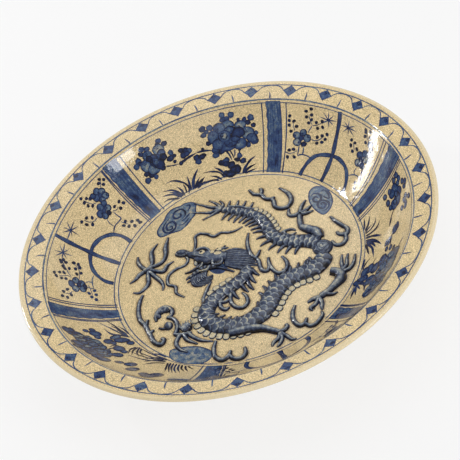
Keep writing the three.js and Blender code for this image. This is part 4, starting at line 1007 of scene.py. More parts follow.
def paint_floor():
    marks = Brushwork("floor_clouds", 0.09)
    wash(marks, [
        (-65, 78.5), (-64.4, 84.2), (-60.4, 89.9), (-55.2, 95), (-50.1, 102.3), (-44.1, 107.1), (-38.4, 107.9),
        (-33.7, 107.2), (-28.4, 108.8), (-22, 106.6), (-18.2, 102.2), (-19.7, 95.8), (-22.5, 87.1), (-27.9, 82.1),
        (-34, 76.6), (-42.4, 72.5), (-49, 73.3), (-53.1, 73.6), (-59.3, 73.2), (-63.7, 74.8),
    ], 0.36, (
        (2.4, [(-38.3, 96.4), (-36.2, 96.2), (-37.4, 92.2), (-41.4, 91.2), (-44.2, 94.8), (-43.3, 99.4), (-39.6, 102.6),
               (-34.1, 102.3), (-31.3, 97.4), (-32.4, 91.5), (-36.5, 87.8)]),
        (2.3, [(-51.2, 82.4), (-48.8, 83.2), (-49.4, 79.2), (-53.7, 79.6), (-54.6, 84.4), (-51.9, 88.6), (-46.9, 89.5),
               (-44.6, 85), (-45.8, 79.2), (-50.7, 75.6), (-55.8, 76.4), (-58.4, 81.0), (-57.2, 86.5), (-52.6, 92.5),
               (-48, 96.6)]),
        (1.8, [(-28.6, 96.0), (-25.4, 99.9), (-24.4, 103.6), (-28.6, 105.2)]),
        (1.8, [(-38, 85.0), (-33.8, 86.4), (-29.6, 89.6), (-26.6, 92.6)]),
        (1.5, [(-42.4, 80.8), (-38, 79.6), (-32.5, 82.6), (-28.4, 86.4)]),
    ))
    marks.stroke([(-18.3, 101.7), (-14.4, 97.9), (-9.3, 90.7), (-3.4, 84.1), (2, 78.3)], 1.6, 0.72)
    marks.stroke([(-21.9, 89.8), (-12.7, 82.4), (-5.7, 77.7), (1.2, 75.2)], 1.6, 0.72)
    wash(marks, [
        (90.1, 48.9), (94, 56.7), (100.2, 59.2), (107.7, 53.6), (110.7, 42.6), (109.4, 31.2), (104.7, 23.1),
        (98.3, 18), (95.1, 17.9), (90.1, 28.7), (88.7, 40.6),
    ], 0.38, (
        (2.3, [(98.2, 41.4), (96.2, 45.2), (92.9, 43.1), (93.4, 38.7), (97, 37.2), (100.9, 41.5), (99.9, 48.0),
               (95.3, 50.4), (91.4, 47.3)]),
        (2.3, [(98.9, 30.6), (97.6, 33.0), (100.3, 33.8), (101.6, 29), (98, 25.9), (94.3, 29.5), (95.5, 35.5),
               (100.7, 36.9), (105, 31.8), (103.6, 25.7), (98.6, 22.5), (95.1, 24.6)]),
        (2.0, [(102.9, 49.3), (106.9, 50.4), (108.8, 43.2), (107.3, 36), (104.8, 39), (102.3, 44.7)]),
    ))
    wash(marks, [
        (-86, -75), (-78, -76), (-68, -79), (-58, -85), (-51, -94), (-53, -101), (-62, -103), (-74, -98), (-84, -90),
        (-88, -82),
    ], 0.34, (), 0.9)
    for x, y, rx, ry in ((-80, -82, 3.4, 2.0), (-72, -85, 4.2, 2.4), (-63, -88, 3.6, 3.0), (-74, -93, 4.0, 1.8),
                         (-60, -96, 3.0, 3.2), (-67, -80.5, 2.4, 1.2)):
        marks.dot((x, y), identity, rx, ry, 0.44, -0.5, 0.02, 0.3)
    marks.fill([(-28, 6), (-26.5, 0), (-22, -5), (-16.5, -6.5), (-12, -4), (-10, 1), (-14, 6), (-22, 8)],
               0.54, 0.08)
    for k in range(7):
        marks.stroke([(-26 + 1.0 * k, 2 + 0.4 * k), (-22 + 1.2 * k, -3.4 + 0.9 * k), (-16 + 0.8 * k, -6 + 1.1 * k)],
                     0.8, 0.84, taper=(0.2, 0.4), step=1.2)
    marks.finish()


paint_floor()

# Round each piece of applied clay a dark line: blue gathered at its foot, and painted shade in the crease there. A
# rusty stain lies beyond it
foot_line_and_crease_shade = Brushwork("relief_contours_and_crease_shade", 0.14, 0.0002)
halo = Brushwork("relief_stain", 0.055, 0.0001)


# Applied clay: beads and pads with flat backs, in one closed mesh for each piece of clay
class Clay:
    def __init__(self):
        self.verts, self.faces, self.ink = [], [], []
        self.size = 0

    def take(self, verts, faces, ink):
        self.verts.append(np.asarray(verts, float))
        self.ink.append(np.asarray(ink, float))
        self.faces += [tuple(self.size + i for i in f) for f in faces]
        self.size += len(verts)

    def bead(self, route, rise=1.15, top=9.0, across=12, step=0.8, blunt=(False, True), ink=0.21, seat=0.0,
             full=0.5, edge=0.82, detail=None, rim=0.5, stain=True):
        """A tapering bead along route (x, y, half width). detail adds height and ink by place along and across. edge
        darkens the flanks: pooled cobalt, with painted shade there and a painted highlight on the lighter crest.
        """
        line = smooth(route, step)
        n = len(line)
        s = np.concatenate([[0], np.cumsum(np.linalg.norm(np.diff(line[:, :2], axis=0), axis=1))])
        half = np.maximum(line[:, 2], 0.3)
        for end, far in zip(blunt, (s, s[-1] - s)):
            if end:
                size = half[0] if far is s else half[-1]
                half = half * np.sqrt(np.clip(1 - (1 - np.clip((far + 0.05) / size, 0, 1)) ** 2, 0.0025, 1))
        ahead = np.gradient(line[:, :2], axis=0)
        ahead /= np.maximum(np.linalg.norm(ahead, axis=1), 1e-9)[:, None]
        right = np.column_stack([ahead[:, 1], -ahead[:, 0]])
        q = np.cos(np.linspace(0, math.pi, across + 1))
        dome = np.clip(1 - q ** 2, 0, 1) ** full
        height = np.minimum(rise * half, top)[:, None] * dome[None, :]
        wave = rng.uniform(0, 6.28)
        tide = 0.07 * np.sin(s * 0.45 + wave) + 0.05 * np.sin(s * 1.3 + 2 * wave)
        # Lightest on the crest and darkest down the flanks, the right flank a little more: thinner glaze and pooled
        # cobalt, with a painted highlight along the crest and painted shade down the flanks.
        load = ink + edge * np.abs(q + 0.10)[None, :] ** 1.5 + tide[:, None] + np.zeros_like(height)
        if detail:
            lift, wash = detail(s[:, None], q[None, :] * half[:, None], half[:, None])
            height = height + lift * dome[None, :]
            load = load + wash
        xy = line[:, None, :2] + right[:, None, :] * (q[None, :, None] * half[:, None, None])
        verts = np.concatenate([xy, (FLOOR_Z + seat + height)[:, :, None]], axis=2).reshape(-1, 3)
        m = across + 1
        faces = []
        for i in range(n - 1):
            for k in range(m):
                a, b = i * m + k, i * m + (k + 1) % m
                faces.append((a, a + m, b + m, b))
        faces.append(tuple(range(m)))
        faces.append(tuple(range(n * m - 1, (n - 1) * m - 1, -1)))
        self.take(verts, faces, load.reshape(-1))
        if rim:
            # A dark line on the glaze round the bead's foot, gathered blue and painted crease shade, and the rusty
            # stain beyond it.
            reach = np.vstack([line[:1, :2] - ahead[:1] * 0.5, line[1:-1, :2], line[-1:, :2] + ahead[-1:] * 0.5])
            foot_line_and_crease_shade.ribbon(reach, [(half + rim, 0.90), (0, 0.94), (-half - rim, 0.90)])
            if stain:
                halo.ribbon(reach, [(half + 2.4, 0), (half + 1.2, -0.5), (0, -0.6), (-half - 1.2, -0.5), (-half - 2.4, 0)])

    def pad(self, x, y, rx, ry, turn, height, ink=0.5, edge=0.4, seat=0.0, rings=8, spokes=24, full=0.5, detail=None,
            rim=0.55, square=2.0):
        """A rounded pad with a flat back. Above 2, square fills out the corners of its outline."""
        c, s = math.cos(turn), math.sin(turn)
        verts, load, faces = [], [], []
        for i in range(rings + 1):
            q = math.cos(math.pi / 2 * i / rings) if i < rings else 0.0
            for k in range(spokes if i < rings else 1):
                a = 2 * math.pi * k / spokes
                corner = (abs(math.cos(a)) ** square + abs(math.sin(a)) ** square) ** (-1 / square)
                u, v = rx * q * math.cos(a) * corner, ry * q * math.sin(a) * corner
                dome = (1 - q * q) ** full
                lift, wash = detail(q, a) if detail else (0, 0)
                verts.append((x + u * c - v * s, y + u * s + v * c, FLOOR_Z + seat + height * dome + lift * dome))
                # Darker towards the pad's edge by edge: pooled cobalt, with painted shade down its flanks.
                load.append(ink + edge * q ** 2 + wash)
        for i in range(rings):
            for k in range(spokes):
                a, b = i * spokes + k, i * spokes + (k + 1) % spokes
                if i < rings - 1:
                    faces.append((a, b, b + spokes, a + spokes))
                else:
                    faces.append((a, b, rings * spokes))
        faces.append(tuple(range(spokes - 1, -1, -1)))
        self.take(verts, faces, load)
        # A dark ring on the glaze round the pad's foot, gathered blue and painted crease shade, and the rusty stain
        # beyond it.
        if rim and not seat:
            foot_line_and_crease_shade.dot((x, y), identity, rx + rim, ry + rim, 0.88, turn, 0.0)
            halo.dot((x, y), identity, rx + 2.2, ry + 2.2, -0.25, turn, 0.25)

    def finish(self, name, slot, *nodes):
        return piece(name, np.vstack(self.verts), self.faces, np.concatenate(self.ink), RELIEF_GLAZE, nodes)


def beads(name, slot, nodes, routes, **options):
    clay = Clay()
    for route in routes:
        clay.bead(route, **options)
    return clay.finish(name, slot, *nodes)


def scales(pitch, width, radius):
    """Overlapping scales with dark outlines and a painted highlight along each raised rim, whose free edges point to
    the tail.
    """
    def detail(s, y, half):
        s, y = np.broadcast_arrays(s, y)
        lift, wash = np.zeros(s.shape), np.zeros(s.shape)
        done = np.zeros(s.shape, bool)
        first = np.ceil((s - radius) / pitch)
        for k in range(4):
            row = first + k
            ds = s - row * pitch
            dy = (np.mod(y / width + 0.5 * np.mod(row, 2), 1) - 0.5) * width
            d = np.hypot(ds, dy)
            inset = radius - d
            hit = (~done) & (d <= radius)
            lift = np.where(hit, 0.24 * (d / radius) ** 3 * np.clip(0.4 + ds / radius, 0, 1), lift)
            dark = 0.56 * np.exp(-(inset / 0.52) ** 2) + 0.16 * np.clip((inset - 2.2) / 1.5, 0, 1)
            # Dark outline at each scale's edge, and a pale ring just inside it on the raised rim: a painted highlight.
            wash = np.where(hit, dark - 0.30 * np.exp(-((inset - 1.4) / 0.55) ** 2), wash)
            done |= hit
        return lift, wash
    return detail


# Routes of the dragon's body, with half its width. Its belly is on the right hand of each.
FOREBODY = [
    [8, -13.5, 6], [0, -22.5, 7], [-14, -28.5, 7], [-28.5, -33.5, 7.5], [-40, -41.5, 8], [-45.5, -53, 8.5],
    [-39.5, -66.5, 9], [-25, -75.5, 9], [-7.5, -77, 9.5], [9, -70.5, 10], [20.5, -57.5, 10], [32.5, -48.5, 10],
    [47, -45.5, 9.5], [62, -46, 9.5], [74.5, -40, 9], [80, -31, 8.5],
]
HINDBODY = [
    [78.5, -16.5, 8], [70, -8.5, 8], [58, -2, 8], [47, 7, 7.5], [41, 19, 7], [40, 32, 6.5], [37, 45.2, 6.2],
    [30, 56.4, 5.6], [20, 65.4, 4.8], [11, 72.6, 4], [4, 78.6, 3],
]
NECK_SPIKES = [
    [[10.5, -17.5], [14.9, -27.2]], [[6.7, -24.5], [9.5, -35.1]], [[2.4, -29.5], [5.1, -42.3]],
    [[-3.6, -32], [-0.3, -42.5]], [[-14, -35], [-10.7, -46.5]],
]
LOOP_SPIKES = [
    [[-36.5, -53.5], [-33, -54.5]], [[-33, -59.3], [-28, -58.8]], [[-26.6, -65], [-23, -63.2]],
    [[-21.3, -67.8], [-17.7, -66]], [[-16, -70], [-12.2, -67.8]], [[-11, -70.4], [-6.2, -67.4]],
    [[-4.4, -69.3], [-0.7, -63.6]], [[2.3, -67.5], [4.3, -58]], [[8, -65.5], [9.8, -52.5]],
    [[14, -58.5], [16.4, -45.6]], [[20.2, -52.5], [23.6, -40.9]],
]


def frame_along(route, share):
    line = smooth(route, 1.0)
    s = np.concatenate([[0], np.cumsum(np.linalg.norm(np.diff(line[:, :2], axis=0), axis=1))])
    at = share * s[-1]
    here = np.array([np.interp(at, s, line[:, k]) for k in range(3)])
    ahead = np.array([np.interp(at, s, np.gradient(line[:, k], s)) for k in range(2)])
    ahead /= np.linalg.norm(ahead)
    return here, ahead, np.array([ahead[1], -ahead[0]]), s[-1]


def spike(clay, root, tip, width=1.9):
    """A fin of clay that tapers from the body to its tip and bends a little."""
    root, tip = np.array(root, float), np.array(tip, float)
    bend = np.array([tip[1] - root[1], root[0] - tip[0]]) * 0.06
    middle = root * 0.45 + tip * 0.55 + bend
    clay.bead([(*root, width), (*middle, width * 0.8), (*tip, 0.45)], ink=0.42, step=0.8, across=8, top=2.3)


def fins(clay, route, start, end, length, pitch=7.0, lean=3.0, width=1.9):
    total = frame_along(route, 0)[3] * (end - start)
    count = round(total / pitch)
    for k in range(count):
        here, ahead, right, _ = frame_along(route, start + (end - start) * (k + 0.5) / count)
        root = here[:2] - right * (here[2] - 1.8)
        tip = here[:2] - right * (here[2] + length * rng.uniform(0.88, 1.1)) + ahead * lean
        spike(clay, root, tip, width)


def plates(name, node_name, route, start, end, pitch, reach):
    """Cream belly plates side by side along the right hand edge of the body, each with a thin dark outline."""
    clay = Clay()
    line = smooth(route, 0.5)
    ahead = np.gradient(line[:, :2], axis=0)
    ahead /= np.linalg.norm(ahead, axis=1)[:, None]
    edge = line[:, :2] + np.column_stack([ahead[:, 1], -ahead[:, 0]]) * line[:, 2:3]
    low, high = int(start * len(edge)), int(end * len(edge))
    edge = edge[low:high]
    s = np.concatenate([[0], np.cumsum(np.linalg.norm(np.diff(edge, axis=0), axis=1))])
    count = round(s[-1] / pitch)
    wide = s[-1] / count

    def ringed(q, a):
        return 0, 0.10 * min(max((q - 0.50) / 0.30, 0), 1) + 0.82 * min(max((q - 0.82) / 0.06, 0), 1)

    for k in range(count):
        at = (k + 0.5) * wide
        here = [float(np.interp(at, s, edge[:, j])) for j in range(2)]
        along = [float(np.interp(at + 1.5, s, edge[:, j]) - np.interp(at - 1.5, s, edge[:, j])) for j in range(2)]
        turn = math.atan2(-along[0], along[1])
        centre = (here[0] + math.cos(turn) * (reach / 2 - 1.4), here[1] + math.sin(turn) * (reach / 2 - 1.4))
        clay.pad(*centre, reach / 2 + 1.4, wide / 2 + 0.1, turn, 1.4, ink=0.03, edge=0.0, rings=14, spokes=28,
                 detail=ringed, rim=0.3, square=3.4)
    return clay.finish(name, "cream_relief", node_name)


def make_body():
    clay = Clay()
    clay.bead(FOREBODY, top=4.4, across=48, step=0.42, full=0.42, detail=scales(5.4, 7.6, 5.2), ink=0.40, edge=0.42)
    for root, tip in NECK_SPIKES:
        spike(clay, root, tip, 2.0)
    for k, (root, tip) in enumerate(LOOP_SPIKES):
        spike(clay, root, tip, 1.3 if k < 6 else 2.2)
    fins(clay, FOREBODY, 0.66, 0.93, 5.5, 6.2, 3.5, 1.7)
    clay.finish("dragon_forebody_scales", "cobalt_relief", "dragon_forebody")
    clay = Clay()
    clay.bead(HINDBODY, top=4.4, across=44, step=0.42, full=0.42, detail=scales(5.0, 6.5, 4.7), ink=0.40, edge=0.42)
    fins(clay, HINDBODY, 0.12, 0.95, 9, 7.0, 3.0, 1.8)
    clay.finish("dragon_hindbody_scales", "cobalt_relief", "dragon_hindbody")
    plates("neck_plates", "belly_plates_neck", FOREBODY, 0.09, 0.24, 6.6, 5.6)
    plates("loop_plates", "belly_plates_loop", FOREBODY, 0.26, 0.52, 6.6, 6.2)
    plates("flank_plates", "belly_plates_flank", FOREBODY, 0.6, 0.9, 6.4, 5.4)
    plates("tail_plates", "belly_plates_tail", HINDBODY, 0.4, 0.74, 5.6, 4.8)
    clay = Clay()

    def disc(q, a):
        rings = math.exp(-((q - 0.80) / 0.035) ** 2) + math.exp(-((q - 0.56 - 0.10 * math.cos(3 * a)) / 0.04) ** 2)
        swirl = math.exp(-((q - 0.05 - 0.055 * ((a + 1.2) % 6.283)) / 0.05) ** 2) * (q < 0.5)
        return -0.5 * rings - 0.4 * swirl, 0.5 * rings + 0.45 * swirl

    clay.pad(80.5, -24, 9.6, 9.6, 0, 4.6, ink=0.27, edge=0.45, rings=30, spokes=56, full=0.4, detail=disc)
    clay.finish("haunch_disc", "cobalt_relief", "dragon_haunch")


def cream_pad(clay, x, y, rx, ry, turn, height, seat, pupil=None, ring_at=0.74):
    """A pale knob in a dark ring, with a dark pupil if one is asked for."""
    def look(q, a):
        ring = 0.9 * min(max((q - ring_at) / 0.10, 0), 1)
        if pupil:
            across, up = q * math.cos(a) - pupil[0], q * math.sin(a) - pupil[1]
            ring = max(ring, 1.0 if math.hypot(across, up) < pupil[2] else 0.0)
        return 0, ring
    clay.pad(x, y, rx, ry, turn, height, ink=0.02, edge=0.0, seat=seat, rings=14, spokes=28, detail=look)

def make_head():
    clay = Clay()
    clay.bead([(-7, 12.5, 4.5), (-15, 16, 8), (-25, 22, 8), (-32.5, 27.5, 5.6), (-40, 32.6, 3.6), (-45, 36.5, 3.4)],
              top=4.4, across=24, ink=0.42, edge=0.45)
    clay.bead([(-22, 15, 4), (-27, 16, 5), (-33, 20.5, 4.5), (-38.5, 25, 2.6)], top=4.0, across=14, ink=0.50)

    def snout(q, a):
        groove = math.exp(-((q - 0.66) / 0.09) ** 2)
        # A pale ring on the raised rim outside the groove: a painted highlight.
        pale = math.exp(-((q - 0.84) / 0.07) ** 2)
        return -0.5 * groove, 0.25 * groove - 0.52 * pale + 0.10 * math.sin(3 * a + 1)

    clay.pad(-47.5, 39, 7.6, 4.6, -0.45, 4.6, ink=0.52, edge=0.34, rings=14, spokes=32, detail=snout)
    high = dict(rim=0, across=10, step=0.7)
    clay.bead([(-46.5, 33.4, 0.7), (-42, 32.2, 1.0), (-37.5, 27.8, 1.2), (-33.4, 24.2, 1.1)], seat=2.2, ink=0.95,
              edge=0.05, **high)
    # A light strip along the ridge of the muzzle: a painted highlight.
    clay.bead([(-44, 35.4, 1.0), (-39.6, 32.2, 1.4), (-36, 28.6, 1.4), (-31.4, 23.2, 1.5), (-26.6, 19.2, 1.4),
               (-24.0, 14.6, 1.3)], seat=2.6, ink=0.22, **high)
    clay.bead([(-36.6, 27.5, 1.1), (-36.0, 31.4, 1.7), (-31.8, 33.6, 1.9), (-26.4, 32.8, 2.0), (-22.6, 29.2, 1.9),
               (-21.2, 24.6, 1.5), (-22.4, 19.4, 1.3)], seat=2.4, ink=0.22, **high)
    ring = [(-29 + 4.0 * math.cos(t), 26.9 + 4.0 * math.sin(t), 0.8) for t in np.linspace(0.4, 6.5, 15)]
    clay.bead(ring, seat=3.0, ink=0.98, edge=0.05, **high)
    clay.bead([(-26, 17, 3.4), (-22, 14.5, 3.6), (-21, 10, 2.6)], top=4.0, across=12, ink=0.50)
    clay.pad(-17.4, 9.6, 5.0, 5.0, 0, 2.2, ink=0.94, edge=0.05)
    ring = [(-17.4 + 5.2 * math.cos(t), 9.6 + 5.2 * math.sin(t), 1.5) for t in np.linspace(0.8, 6.9, 19)]
    clay.bead(ring, seat=1.8, ink=0.24, **high)
    cream_pad(clay, -19.0, 22.0, 3.0, 2.8, 0.3, 2.2, 3.0)
    cream_pad(clay, -14.6, 17.6, 5.4, 3.0, -0.45, 2.2, 2.8)
    cream_pad(clay, -12.0, 22.8, 3.6, 2.6, -0.3, 2.0, 2.4, (-0.45, 0.1, 0.30))
    cream_pad(clay, -8.2, 18.8, 2.6, 1.6, -0.5, 2.0, 2.0)
    clay.bead([(-31, 15.8, 1.0), (-33.4, 12.4, 1.0), (-36.6, 10.4, 0.5)], seat=1.6, ink=0.06, edge=0.5, **high)
    clay.bead([(-36.4, 24.6, 1.0), (-33.6, 20.6, 1.4), (-31.4, 16.8, 1.0)], seat=1.4, ink=0.98, edge=0.02, **high)
    clay.finish("dragon_head_modelled", "cobalt_relief", "dragon_head")

    clay = Clay()
    cream_pad(clay, -28.8, 26.9, 3.5, 3.5, 0, 2.4, 2.9, (-0.20, 0.06, 0.40), 0.84)
    clay.finish("dragon_eyeball", "cream_relief", "dragon_eye")
    beads("fang", "cream_relief", ["dragon_fang"], [[(-37.2, 22, 1.5), (-37.9, 19, 2.0), (-38.6, 16, 0.9)]],
          ink=0.02, edge=0.35, blunt=(True, True))
    beads("horn", "cream_relief", ["dragon_horn"],
          [[(-16, 25.6, 1.3), (-12.5, 25.2, 1.7), (-8, 24.2, 1.4), (-3.2, 23.6, 0.7)], [(-9, 24.6, 1.2), (-5, 27.5, 0.6)]],
          ink=0.40, edge=0.5, seat=0.2)

    clay = Clay()

    def banded(s, y, half):
        return 0 * s + 0 * y, 0.30 * np.sign(np.cos(s * 1.5)) * (y > -half * 0.5)

    clay.bead([(-20.5, 4.5, 2.4), (-26, 6.4, 3), (-31.5, 8.2, 2.8), (-38, 7.4, 2.4), (-44, 5.8, 1.8), (-48.8, 2.8, 0.8)],
              top=3.2, ink=0.62, step=0.5, edge=0.35, detail=banded)
    clay.bead([(-51, 11.6, 0.6), (-45.7, 10.8, 1.2), (-38.5, 12.6, 1.5), (-32.6, 15.4, 1.2)], top=2.4, ink=0.46, seat=0.2)
    clay.bead([(-38.6, 6.0, 0.6), (-34.0, 4.8, 0.9), (-29.6, 4.0, 1.3), (-26.8, 7.2, 1.2)], seat=1.8, ink=0.02,
              edge=0.3, rim=0, across=8)
    clay.finish("dragon_jaw", "cobalt_relief", "dragon_lower_jaw")

    clay = Clay()
    for k in range(8):
        t = k / 7
        root = (-31 - 12.5 * t, 3.4 - 0.6 * t)
        belly = (-33.6 - 13.6 * t, -2.6 - 0.2 * t)
        tip = (-26.5 - 13.0 * t * t, -4.4 - 8.6 * math.sin(1.7 * t))
        low = (belly[0] + 1.2, (belly[1] + tip[1]) / 2 - 1.2)
        clay.bead([(*root, 1.2), (*belly, 1.3), (*low, 1.1), (*tip, 0.45)], ink=0.34 + 0.14 * (k % 2), across=8,
                  blunt=(False, False))
    clay.bead([(-44, 5, 1.4), (-49, 4.3, 1.2), (-52, 2.5, 0.5)], ink=0.4, across=8)
    clay.bead([(-44, 2.2, 1.3), (-48.4, -0.6, 1.2), (-51.8, -1.4, 0.5)], ink=0.4, across=8)
    clay.finish("beard_curls", "cobalt_relief", "dragon_beard")

    clay = Clay()
    count = 26
    for k in range(count):
        t = k / (count - 1)
        root = (-8 - 4.5 * t, 20.0 - 18 * t)
        tip = (11.0 + 5.4 * math.sin(t * 2.8) + rng.uniform(-2.2, 1.6), 11.0 - 30 * t)
        bend = 3.4 * (1 - t) - 1.0
        middle = (root[0] * 0.5 + tip[0] * 0.5 + 1.0 * (1 - t), root[1] * 0.5 + tip[1] * 0.5 + bend)
        clay.bead([(*root, 1.0), (*middle, 1.2), (*tip, 0.4)], ink=0.38 + 0.16 * (k % 3), top=1.2 + 0.25 * (k % 2),
                  rise=1.0, blunt=(True, False), edge=0.5, across=8)
    clay.bead([(-24.6, 6.0, 1.0), (-17.4, 1.2, 1.4), (-10.2, -6, 1.2), (-6.1, -10.8, 0.5)], ink=0.5, top=1.5, across=8)
    clay.finish("combed_mane", "cobalt_relief", "dragon_mane")


# Routes of the other beads: x, y and half the width


